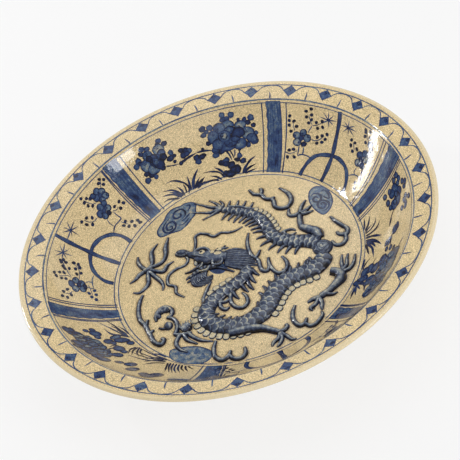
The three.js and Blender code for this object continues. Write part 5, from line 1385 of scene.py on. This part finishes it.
STRANDS = {
    "upper_whisker": (
        [(-35.5, 36.5, 1.3), (-33, 41.8, 1.3), (-31, 49.5, 1.4), (-30, 55, 1.4), (-24.8, 56.8, 1.5),
         (-18.3, 52.6, 1.5), (-11.8, 45.4, 1.5), (-4.6, 46.8, 1.4), (3.5, 42.8, 1.3), (9.8, 42, 1),
         (17.5, 43.6, 0.5)],
    ),
    "lower_whisker": (
        [(-45, 33, 1.2), (-44.2, 28.1, 1.3), (-48.2, 22.6, 1.4), (-57.4, 21.8, 1.5), (-67, 17.2, 1.5),
         (-70, 6, 1.5), (-64, -1, 1.5), (-65, -9, 1.2), (-59, -18, 0.5)],
    ),
    "dragon_forepaw": (
        [(-27, -36.8, 2), (-29, -43, 1.9), (-28.8, -49.3, 1.9), (-25.6, -53, 1.8), (-21.6, -51.4, 0.9)],
        [(-29, -41.6, 1.6), (-23.4, -43.6, 1.8), (-18, -42.4, 1.6)],
        [(-16.3, -36.5, 1.9), (-18.6, -43.6, 2), (-17.8, -51.3, 2), (-14, -56.8, 2), (-9.6, -58.4, 1.9),
         (-4.4, -54.6, 1.9), (-3.4, -47.2, 1.5), (-6, -40, 0.6)],
    ),
    "elbow_spike": (
        [(-38, -38.6, 1.8), (-42.6, -36, 2), (-42, -30.5, 2), (-39, -24.6, 1.9), (-35, -18.2, 1.5),
         (-29.9, -11.8, 0.5)],
    ),
    "lower_leg": (
        [(-30, -83.5, 4), (-21, -84.8, 5), (-10, -87.2, 4.6), (0, -91.5, 3.8), (7.1, -97.6, 3.1),
         (12.6, -103, 3.3)],
        [(11.5, -101.5, 2.3), (16.7, -102.5, 2.1), (21, -99.8, 1.9), (20.5, -96, 1.3)],
        [(12.5, -104, 2.1), (9.9, -108.6, 1.9), (4.2, -111.6, 1.7), (1.8, -114.6, 0.8)],
        [(13, -104, 2.1), (13, -110, 1.9), (9, -115.5, 1.6), (5.9, -117.4, 0.7)],
        [(14, -104.5, 2.1), (17.6, -110.5, 1.9), (20.4, -115.6, 1.5), (24.2, -116.8, 0.6)],
    ),
    "hind_leg": (
        [(78, -57, 4), (84, -62.5, 5), (83.5, -69.5, 4.8), (77, -73.5, 4), (69, -78, 3.2), (58, -81.5, 3.2)],
        [(59, -81.5, 2.4), (52.5, -80.6, 2.1), (46.6, -82, 1.2)],
        [(57, -82.5, 2.4), (52, -87.5, 2), (46.5, -89.8, 1.6), (47.6, -93.2, 0.7)],
        [(58, -82.5, 2.4), (58, -88.5, 2.1), (56.6, -93, 1.7), (55.6, -96.6, 0.6)],
        [(64, -80.5, 2.1), (70.6, -83.6, 1.7), (75, -83.4, 0.6)],
    ),
    "hock_flames": (
        [(84, -60.5, 2.4), (88.4, -59, 1.9), (90.3, -51, 1.7), (94, -42, 0.5)],
        [(87, -61.5, 2.4), (93.4, -56.4, 1.9), (96.2, -49.5, 1.4), (99.4, -43.6, 0.5)],
        [(88, -63, 2.3), (95, -61.6, 1.9), (100.6, -56.4, 1.6), (105.4, -47.4, 0.5)],
    ),
    "upper_leg": (
        [(83, -11, 3.5), (82, -2, 5.4), (76, 5.4, 4.6), (71.2, 12.4, 3.4), (72, 21, 2.8), (74.6, 29.5, 3)],
        [(74, 31, 2.3), (68.6, 31, 2.1), (65, 34, 1.9), (65.4, 39, 1.5), (67.2, 43, 0.7)],
        [(75, 31, 2.3), (78.4, 37.8, 2), (82, 42, 1.7), (85.8, 46, 0.7)],
        [(76, 30.5, 2.3), (82.4, 32.2, 2), (86, 34.5, 1.6), (89, 36.2, 0.7)],
        [(76, 29, 2.2), (82, 27.6, 1.8), (88, 28, 0.8)],
    ),
    "thigh_wisps": (
        [(47.5, 14, 1.5), (54.9, 15.6, 1.6), (61.6, 14, 1.3), (64, 10.8, 0.6)],
        [(53, 15.4, 1.5), (54.2, 10.4, 1.5), (58, 7.2, 1.5), (63.8, 8.1, 0.6)],
    ),
    "shoulder_flame": (
        [(20.8, 32, 0.5), (16.7, 22, 1.5), (14.7, 10.5, 1.8), (15.7, 0.2, 1.8), (19.5, -8.7, 1.9),
         (18.8, -18.5, 2), (20.2, -24.2, 2), (24, -25.8, 1.9), (27.4, -21, 1.9), (28.4, -14, 1.5),
         (29.6, -9.6, 0.8)],
        [(17.5, -4, 1.8), (21, -1.5, 1.6), (25, 4, 0.9)],
        [(27.8, -20, 1.8), (29.2, -28, 1.9), (33, -34.6, 2), (38, -34.6, 2), (42.4, -30.6, 2),
         (43.9, -23.6, 1.8), (41.6, -14.6, 0.8)],
    ),
    "tail_tuft": (
        [(5, 79.4, 2.6), (-6, 89.4, 1.3), (-19, 102.4, 0.8)],
        [(5, 79.4, 2.6), (-8, 81.4, 1.3), (-24, 90.4, 0.8)],
        [(5, 79.4, 2.6), (-6, 76.4, 1.3), (-17, 74.4, 0.5)],
        [(5, 79.4, 2.6), (2, 89.4, 1.3), (-4, 98.4, 0.5)],
        [(5, 79.4, 2.6), (8, 85.4, 1.3), (6, 92.4, 0.5)],
    ),
    "tail_crest": (
        [(12, 78.4, 1.8), (21, 73.4, 1.8), (29, 66.4, 1.8), (36, 60.4, 1.6)],
        [(12, 78.4, 1.6), (14, 82.4, 1.2), (16, 86.4, 0.4)],
        [(19, 74.4, 1.6), (22, 78.4, 1.2), (24, 82.4, 0.4)],
        [(25, 70.4, 1.6), (28, 73.4, 1.2), (31, 77.4, 0.4)],
        [(31, 64.4, 1.6), (34, 67.4, 1.2), (37, 71.4, 0.4)],
    ),
    "pearl_flame": (
        [(-86, 36, 2), (-89.3, 40.6, 2.1), (-92.1, 50, 1.9), (-91.1, 58.4, 0.5)],
        [(-83.5, 37, 2), (-79.3, 40.6, 2), (-77.6, 51, 2.6), (-76, 58, 2), (-68, 66, 0.5)],
        [(-82, 37, 2), (-73.3, 36.8, 2.1), (-67.3, 39.8, 2.1), (-63.6, 46, 2.2), (-61.5, 56, 2.6),
         (-56, 69, 0.6)],
        [(-83, 34, 2.2), (-76, 28.1, 2.2), (-70.5, 25.6, 2.4), (-64.6, 31.4, 1.8), (-58.2, 33.4, 0.5)],
        [(-84, 32, 2.2), (-79.6, 21.6, 2.2), (-75.9, 13.2, 1.9), (-75, 6.6, 1.2), (-76.6, 1.2, 0.5)],
        [(-85.4, 32, 2.1), (-86.9, 25, 2.2), (-88.3, 16.8, 2.2), (-93.4, 12.2, 1.8), (-99.2, 9.6, 1.3),
         (-104.8, 12.9, 0.5)],
        [(-88, 34.6, 2.1), (-94.3, 33, 2.2), (-99.8, 28.8, 1.6), (-105.6, 26.8, 0.5)],
        [(-89, 35, 2.8), (-84.7, 34.6, 3.4), (-80, 34.8, 2.8)],
    ),
    "left_scroll": (
        [(-96.7, 4.8, 1), (-101.3, -2.5, 1.9), (-105.1, -14.5, 2.1), (-105.3, -25.8, 2.2),
         (-102.1, -34.3, 2.2), (-101, -42, 2.1), (-99.6, -50.6, 2.1), (-97.8, -59, 2.1),
         (-92.6, -64.2, 2.1), (-88.8, -60, 1.9), (-91, -56.4, 1.2)],
        [(-101.6, -35.5, 2), (-98.4, -28.2, 1.3)],
        [(-100.4, -46, 2), (-95.4, -43.6, 1.3)],
    ),
    "fungus_stem": (
        [(-91.2, -34.5, 0.8), (-89.6, -28.4, 2.6), (-84.5, -23.2, 3), (-78.4, -23.2, 3.2),
         (-74.5, -27.8, 2.6), (-75, -33.2, 1.9), (-79.5, -35, 1.2)],
        [(-80.2, -34.6, 1.4), (-75, -39.8, 2), (-73.1, -47.3, 2.1), (-74.6, -54, 2.1), (-77.4, -58.6, 1.9),
         (-72.6, -61.8, 2.1), (-62.6, -63.8, 1.6)],
        [(-70, -58.5, 4.6), (-65.1, -56.1, 5.4), (-60.4, -54.4, 4.4)],
        [(-73, -61, 2.2), (-79, -69, 2), (-77.4, -78, 1.6), (-71.4, -84.4, 0.6)],
        [(-70, -61.5, 2.2), (-68.6, -70, 1.9), (-60.6, -79.6, 0.6)],
        [(-66, -62.6, 2.2), (-62.8, -69, 1.9), (-56.2, -77.4, 1.5), (-46.4, -83.6, 0.5)],
    ),
    "lower_scroll": (
        [(-44, -84.4, 1.2), (-48, -92.6, 1.9), (-49, -101.6, 2.1), (-44, -108.4, 2.2), (-37, -106.4, 2.1),
         (-34, -101.4, 1.2)],
        [(-37, -105.4, 1.9), (-34, -111.4, 2), (-28, -114.2, 2.1), (-22.5, -111.4, 2.1), (-21, -103.6, 1)],
    ),
    "near_scroll": (
        [(34.8, -79.4, 1), (30.8, -85.8, 1.9), (28.5, -93, 2.1), (29, -99.4, 2.2), (32, -104.4, 2.2),
         (36.6, -104, 2), (40.2, -98.6, 1)],
        [(36.6, -104.4, 1.9), (40.4, -109, 2), (45, -109.2, 2), (50.4, -106, 1.9), (54.4, -101.6, 1.4),
         (54.6, -97.6, 0.6)],
    ),
    "far_scroll": (
        [(38, 91.4, 0.8), (41, 82.4, 1.9), (47, 77.4, 2.1), (50, 69.4, 2.1), (56, 63.4, 2.3),
         (55.5, 53.4, 2.2), (60, 47.4, 2.3), (67, 46.4, 2.3), (73, 53.4, 2.3), (73, 64.4, 2.3),
         (67, 77.4, 0.8)],
        [(47, 77.4, 1.9), (50, 83.4, 1.9), (49, 87.4, 1)],
        [(54, 64.4, 2.1), (59, 67.4, 1.6)],
    ),
    "side_scroll": (
        [(100.2, 11.6, 0.8), (102.6, 3.5, 1.9), (106.4, -5.6, 2.2), (109.6, -13, 2.2), (106.6, -18.6, 2.2),
         (100.6, -15.6, 1.9), (99, -11, 1)],
        [(105.4, -19.6, 2), (103.6, -25.6, 2), (98.4, -29.4, 2.1), (93, -27.4, 1.9), (91, -20, 1)],
    ),
    "dragon_beard": (
        [(-29, 1.5, 1.8), (-36, 2, 2), (-43, 1.5, 1.8), (-49, 0.5, 1.2)],
        [(-46, 1, 1.6), (-48.4, -3, 1.6), (-48.2, -8, 1.3), (-43.5, -12.5, 0.5)],
        [(-42, 1, 1.6), (-44.8, -4, 1.5), (-43.5, -9, 1.3), (-38.5, -13.2, 0.5)],
        [(-38, 1, 1.6), (-40.6, -4, 1.5), (-38.6, -8, 1.2), (-33.5, -11, 0.5)],
        [(-33, 1, 1.6), (-35.6, -3, 1.4), (-33, -6.4, 1.2), (-28.5, -6.8, 0.5)],
    ),
}


def make_strands():
    for name, routes in STRANDS.items():
        if name == "dragon_beard":
            continue
        clay = Clay()
        for route in routes:
            clay.bead(route, top=5.0)
        if name == "fungus_stem":
            for x, y, radius in ((-88.6, -29.2, 3.4), (-84.4, -24.6, 3.7), (-78.2, -25, 4)):
                clay.pad(x, y, radius, radius, 0, 3.4, ink=0.34, edge=0.5, rings=10, rim=0.4,
                         detail=lambda q, a: (-0.5 * math.exp(-((q - 0.6) / 0.1) ** 2), 0.16 * math.sin(3 * a)))
            # A cream strip seated on the right end of the cap: a painted highlight.
            clay.bead([(-80, -22, 0.8), (-76.4, -24.6, 1.2), (-74.6, -28.6, 0.9)], ink=0.02, edge=0.3, seat=2.6, rim=0,
                      across=8)
            for k in range(5):
                x = -70.5 + 2.7 * k
                clay.bead([(x + 1.4, -60.6 + 0.7 * k, 0.7), (x - 0.4, -55.4 + 0.6 * k, 0.8), (x + 0.8, -51.6 + 0.4 * k, 0.5)],
                          ink=0.12, seat=3.6, rim=0, across=6)
        clay.finish(name + "_bead", "cobalt_relief", name)
    clay = Clay()

    # The bud is paler on its +x half: a painted highlight on its lit side.
    def lit_side_highlight(q, a):
        return 0, -0.40 * min(max((q * math.cos(a) - 0.1) / 0.2, 0), 1) * (q < 0.8)

    clay.pad(-81.4, -45.6, 4.2, 4.8, 0, 3.6, ink=0.46, edge=0.45, rings=12, detail=lit_side_highlight)
    clay.bead([(-90.4, -43.4, 0.6), (-87.6, -46.4, 1.2), (-83, -48, 1.2)], ink=0.4)
    clay.finish("fungus_bud_pad", "cobalt_relief", "fungus_bud")


make_body()
make_head()
make_strands()
foot_line_and_crease_shade.finish()
halo.finish()


# Floor, backdrop, light and camera
def studio():
    scene = bpy.context.scene
    bpy.ops.mesh.primitive_plane_add(size=40, location=(0, 0, -0.0002))
    ground = bpy.context.object
    ground.name = "studio_floor"
    paper = bpy.data.materials.new("studio_paper")
    paper.use_nodes = True
    tree = paper.node_tree
    link = tree.links.new
    shader = tree.nodes["Principled BSDF"]
    shader.inputs["Base Color"].default_value = (0.9, 0.9, 0.9, 1)
    shader.inputs["Roughness"].default_value = 1.0
    shader.inputs["Specular IOR Level"].default_value = 0.0
    white = tree.nodes.new("ShaderNodeEmission")
    white.inputs["Color"].default_value = (0.938, 0.938, 0.938, 1)
    seen = tree.nodes.new("ShaderNodeLightPath")
    share = tree.nodes.new("ShaderNodeMath")
    share.operation = "MAXIMUM"
    link(seen.outputs["Is Camera Ray"], share.inputs[0])
    link(seen.outputs["Is Glossy Ray"], share.inputs[1])
    either = tree.nodes.new("ShaderNodeMath")
    either.operation = "MAXIMUM"
    link(share.outputs[0], either.inputs[0])
    link(seen.outputs["Is Transmission Ray"], either.inputs[1])
    part = tree.nodes.new("ShaderNodeMath")
    part.operation = "MULTIPLY"
    part.inputs[1].default_value = 0.84
    link(either.outputs[0], part.inputs[0])
    mix = tree.nodes.new("ShaderNodeMixShader")
    link(part.outputs[0], mix.inputs["Fac"])
    link(shader.outputs[0], mix.inputs[1])
    link(white.outputs[0], mix.inputs[2])
    link(mix.outputs[0], tree.nodes["Material Output"].inputs["Surface"])
    ground.data.materials.append(paper)

    world = bpy.data.worlds.new("studio_world")
    world.use_nodes = True
    scene.world = world
    sky = world.node_tree
    background = sky.nodes["Background"]
    heading = sky.nodes.new("ShaderNodeTexCoord")
    parts = sky.nodes.new("ShaderNodeSeparateXYZ")
    sky.links.new(heading.outputs["Generated"], parts.inputs[0])
    glow = sky.nodes.new("ShaderNodeMapRange")
    for socket, value in (("From Min", 0.16), ("From Max", 0.34), ("To Min", 0.97), ("To Max", 0.44)):
        glow.inputs[socket].default_value = value
    sky.links.new(parts.outputs["Z"], glow.inputs["Value"])
    sky.links.new(glow.outputs["Result"], background.inputs["Strength"])
    background.inputs["Color"].default_value = (1, 1, 1, 1)

    def softbox(name, azimuth, elevation, away, size, size_y, radiance, aim=(0, 0, 0.03), lean=0):
        """An area lamp at a bearing from the bowl. radiance is its brightness as seen in the glaze."""
        a, e = math.radians(azimuth), math.radians(elevation)
        position = Vector((away * math.cos(e) * math.cos(a), away * math.cos(e) * math.sin(a), away * math.sin(e)))
        light = bpy.data.lights.new(name, "AREA")
        light.shape = "RECTANGLE"
        light.size = size
        light.size_y = size_y
        light.energy = radiance * math.pi * size * size_y
        made = bpy.data.objects.new(name, light)
        made.location = position
        made.rotation_mode = "QUATERNION"
        turned = Quaternion((0, 0, 1), math.radians(lean))
        made.rotation_quaternion = (Vector(aim) - position).to_track_quat("-Z", "Y") @ turned
        scene.collection.objects.link(made)

    softbox("overhead_softbox", 50, 66, 1.9, 1.8, 1.8, 1.2)
    softbox("front_softbox", -45, 31, 1.5, 0.42, 0.40, 10)
    softbox("front_fill", -90, 32, 1.6, 1.2, 1.2, 0.9)
    softbox("back_strip", 143, 17, 1.6, 0.10, 0.9, 22, lean=27)
    softbox("small_key", 134, 38, 1.6, 0.14, 0.14, 60)


def camera():
    """The photograph's view, solved from the rim, the floor circle and the lozenges."""
    elevation, roll = math.radians(42.975), math.radians(-21.53)
    distance, focal_px, frame_px, sensor = 0.9795, 1071.35, 460, 36.0
    target = Vector((4.92 * MM, -17.27 * MM, 77 * MM))
    back = Vector((0, -math.cos(elevation), math.sin(elevation)))
    right = Vector((1, 0, 0))
    up = back.cross(right)
    rolled_right = right * math.cos(roll) + up * math.sin(roll)
    rolled_up = up * math.cos(roll) - right * math.sin(roll)
    data = bpy.data.cameras.new("photo_camera")
    data.sensor_width = sensor
    data.lens = focal_px / frame_px * sensor
    made = bpy.data.objects.new("photo_camera", data)
    place = Matrix((rolled_right, rolled_up, back)).transposed().to_4x4()
    place.translation = target + back * distance
    made.matrix_world = place
    bpy.context.scene.collection.objects.link(made)
    bpy.context.scene.camera = made


studio()
camera()
bpy.context.scene.view_settings.view_transform = "Standard"
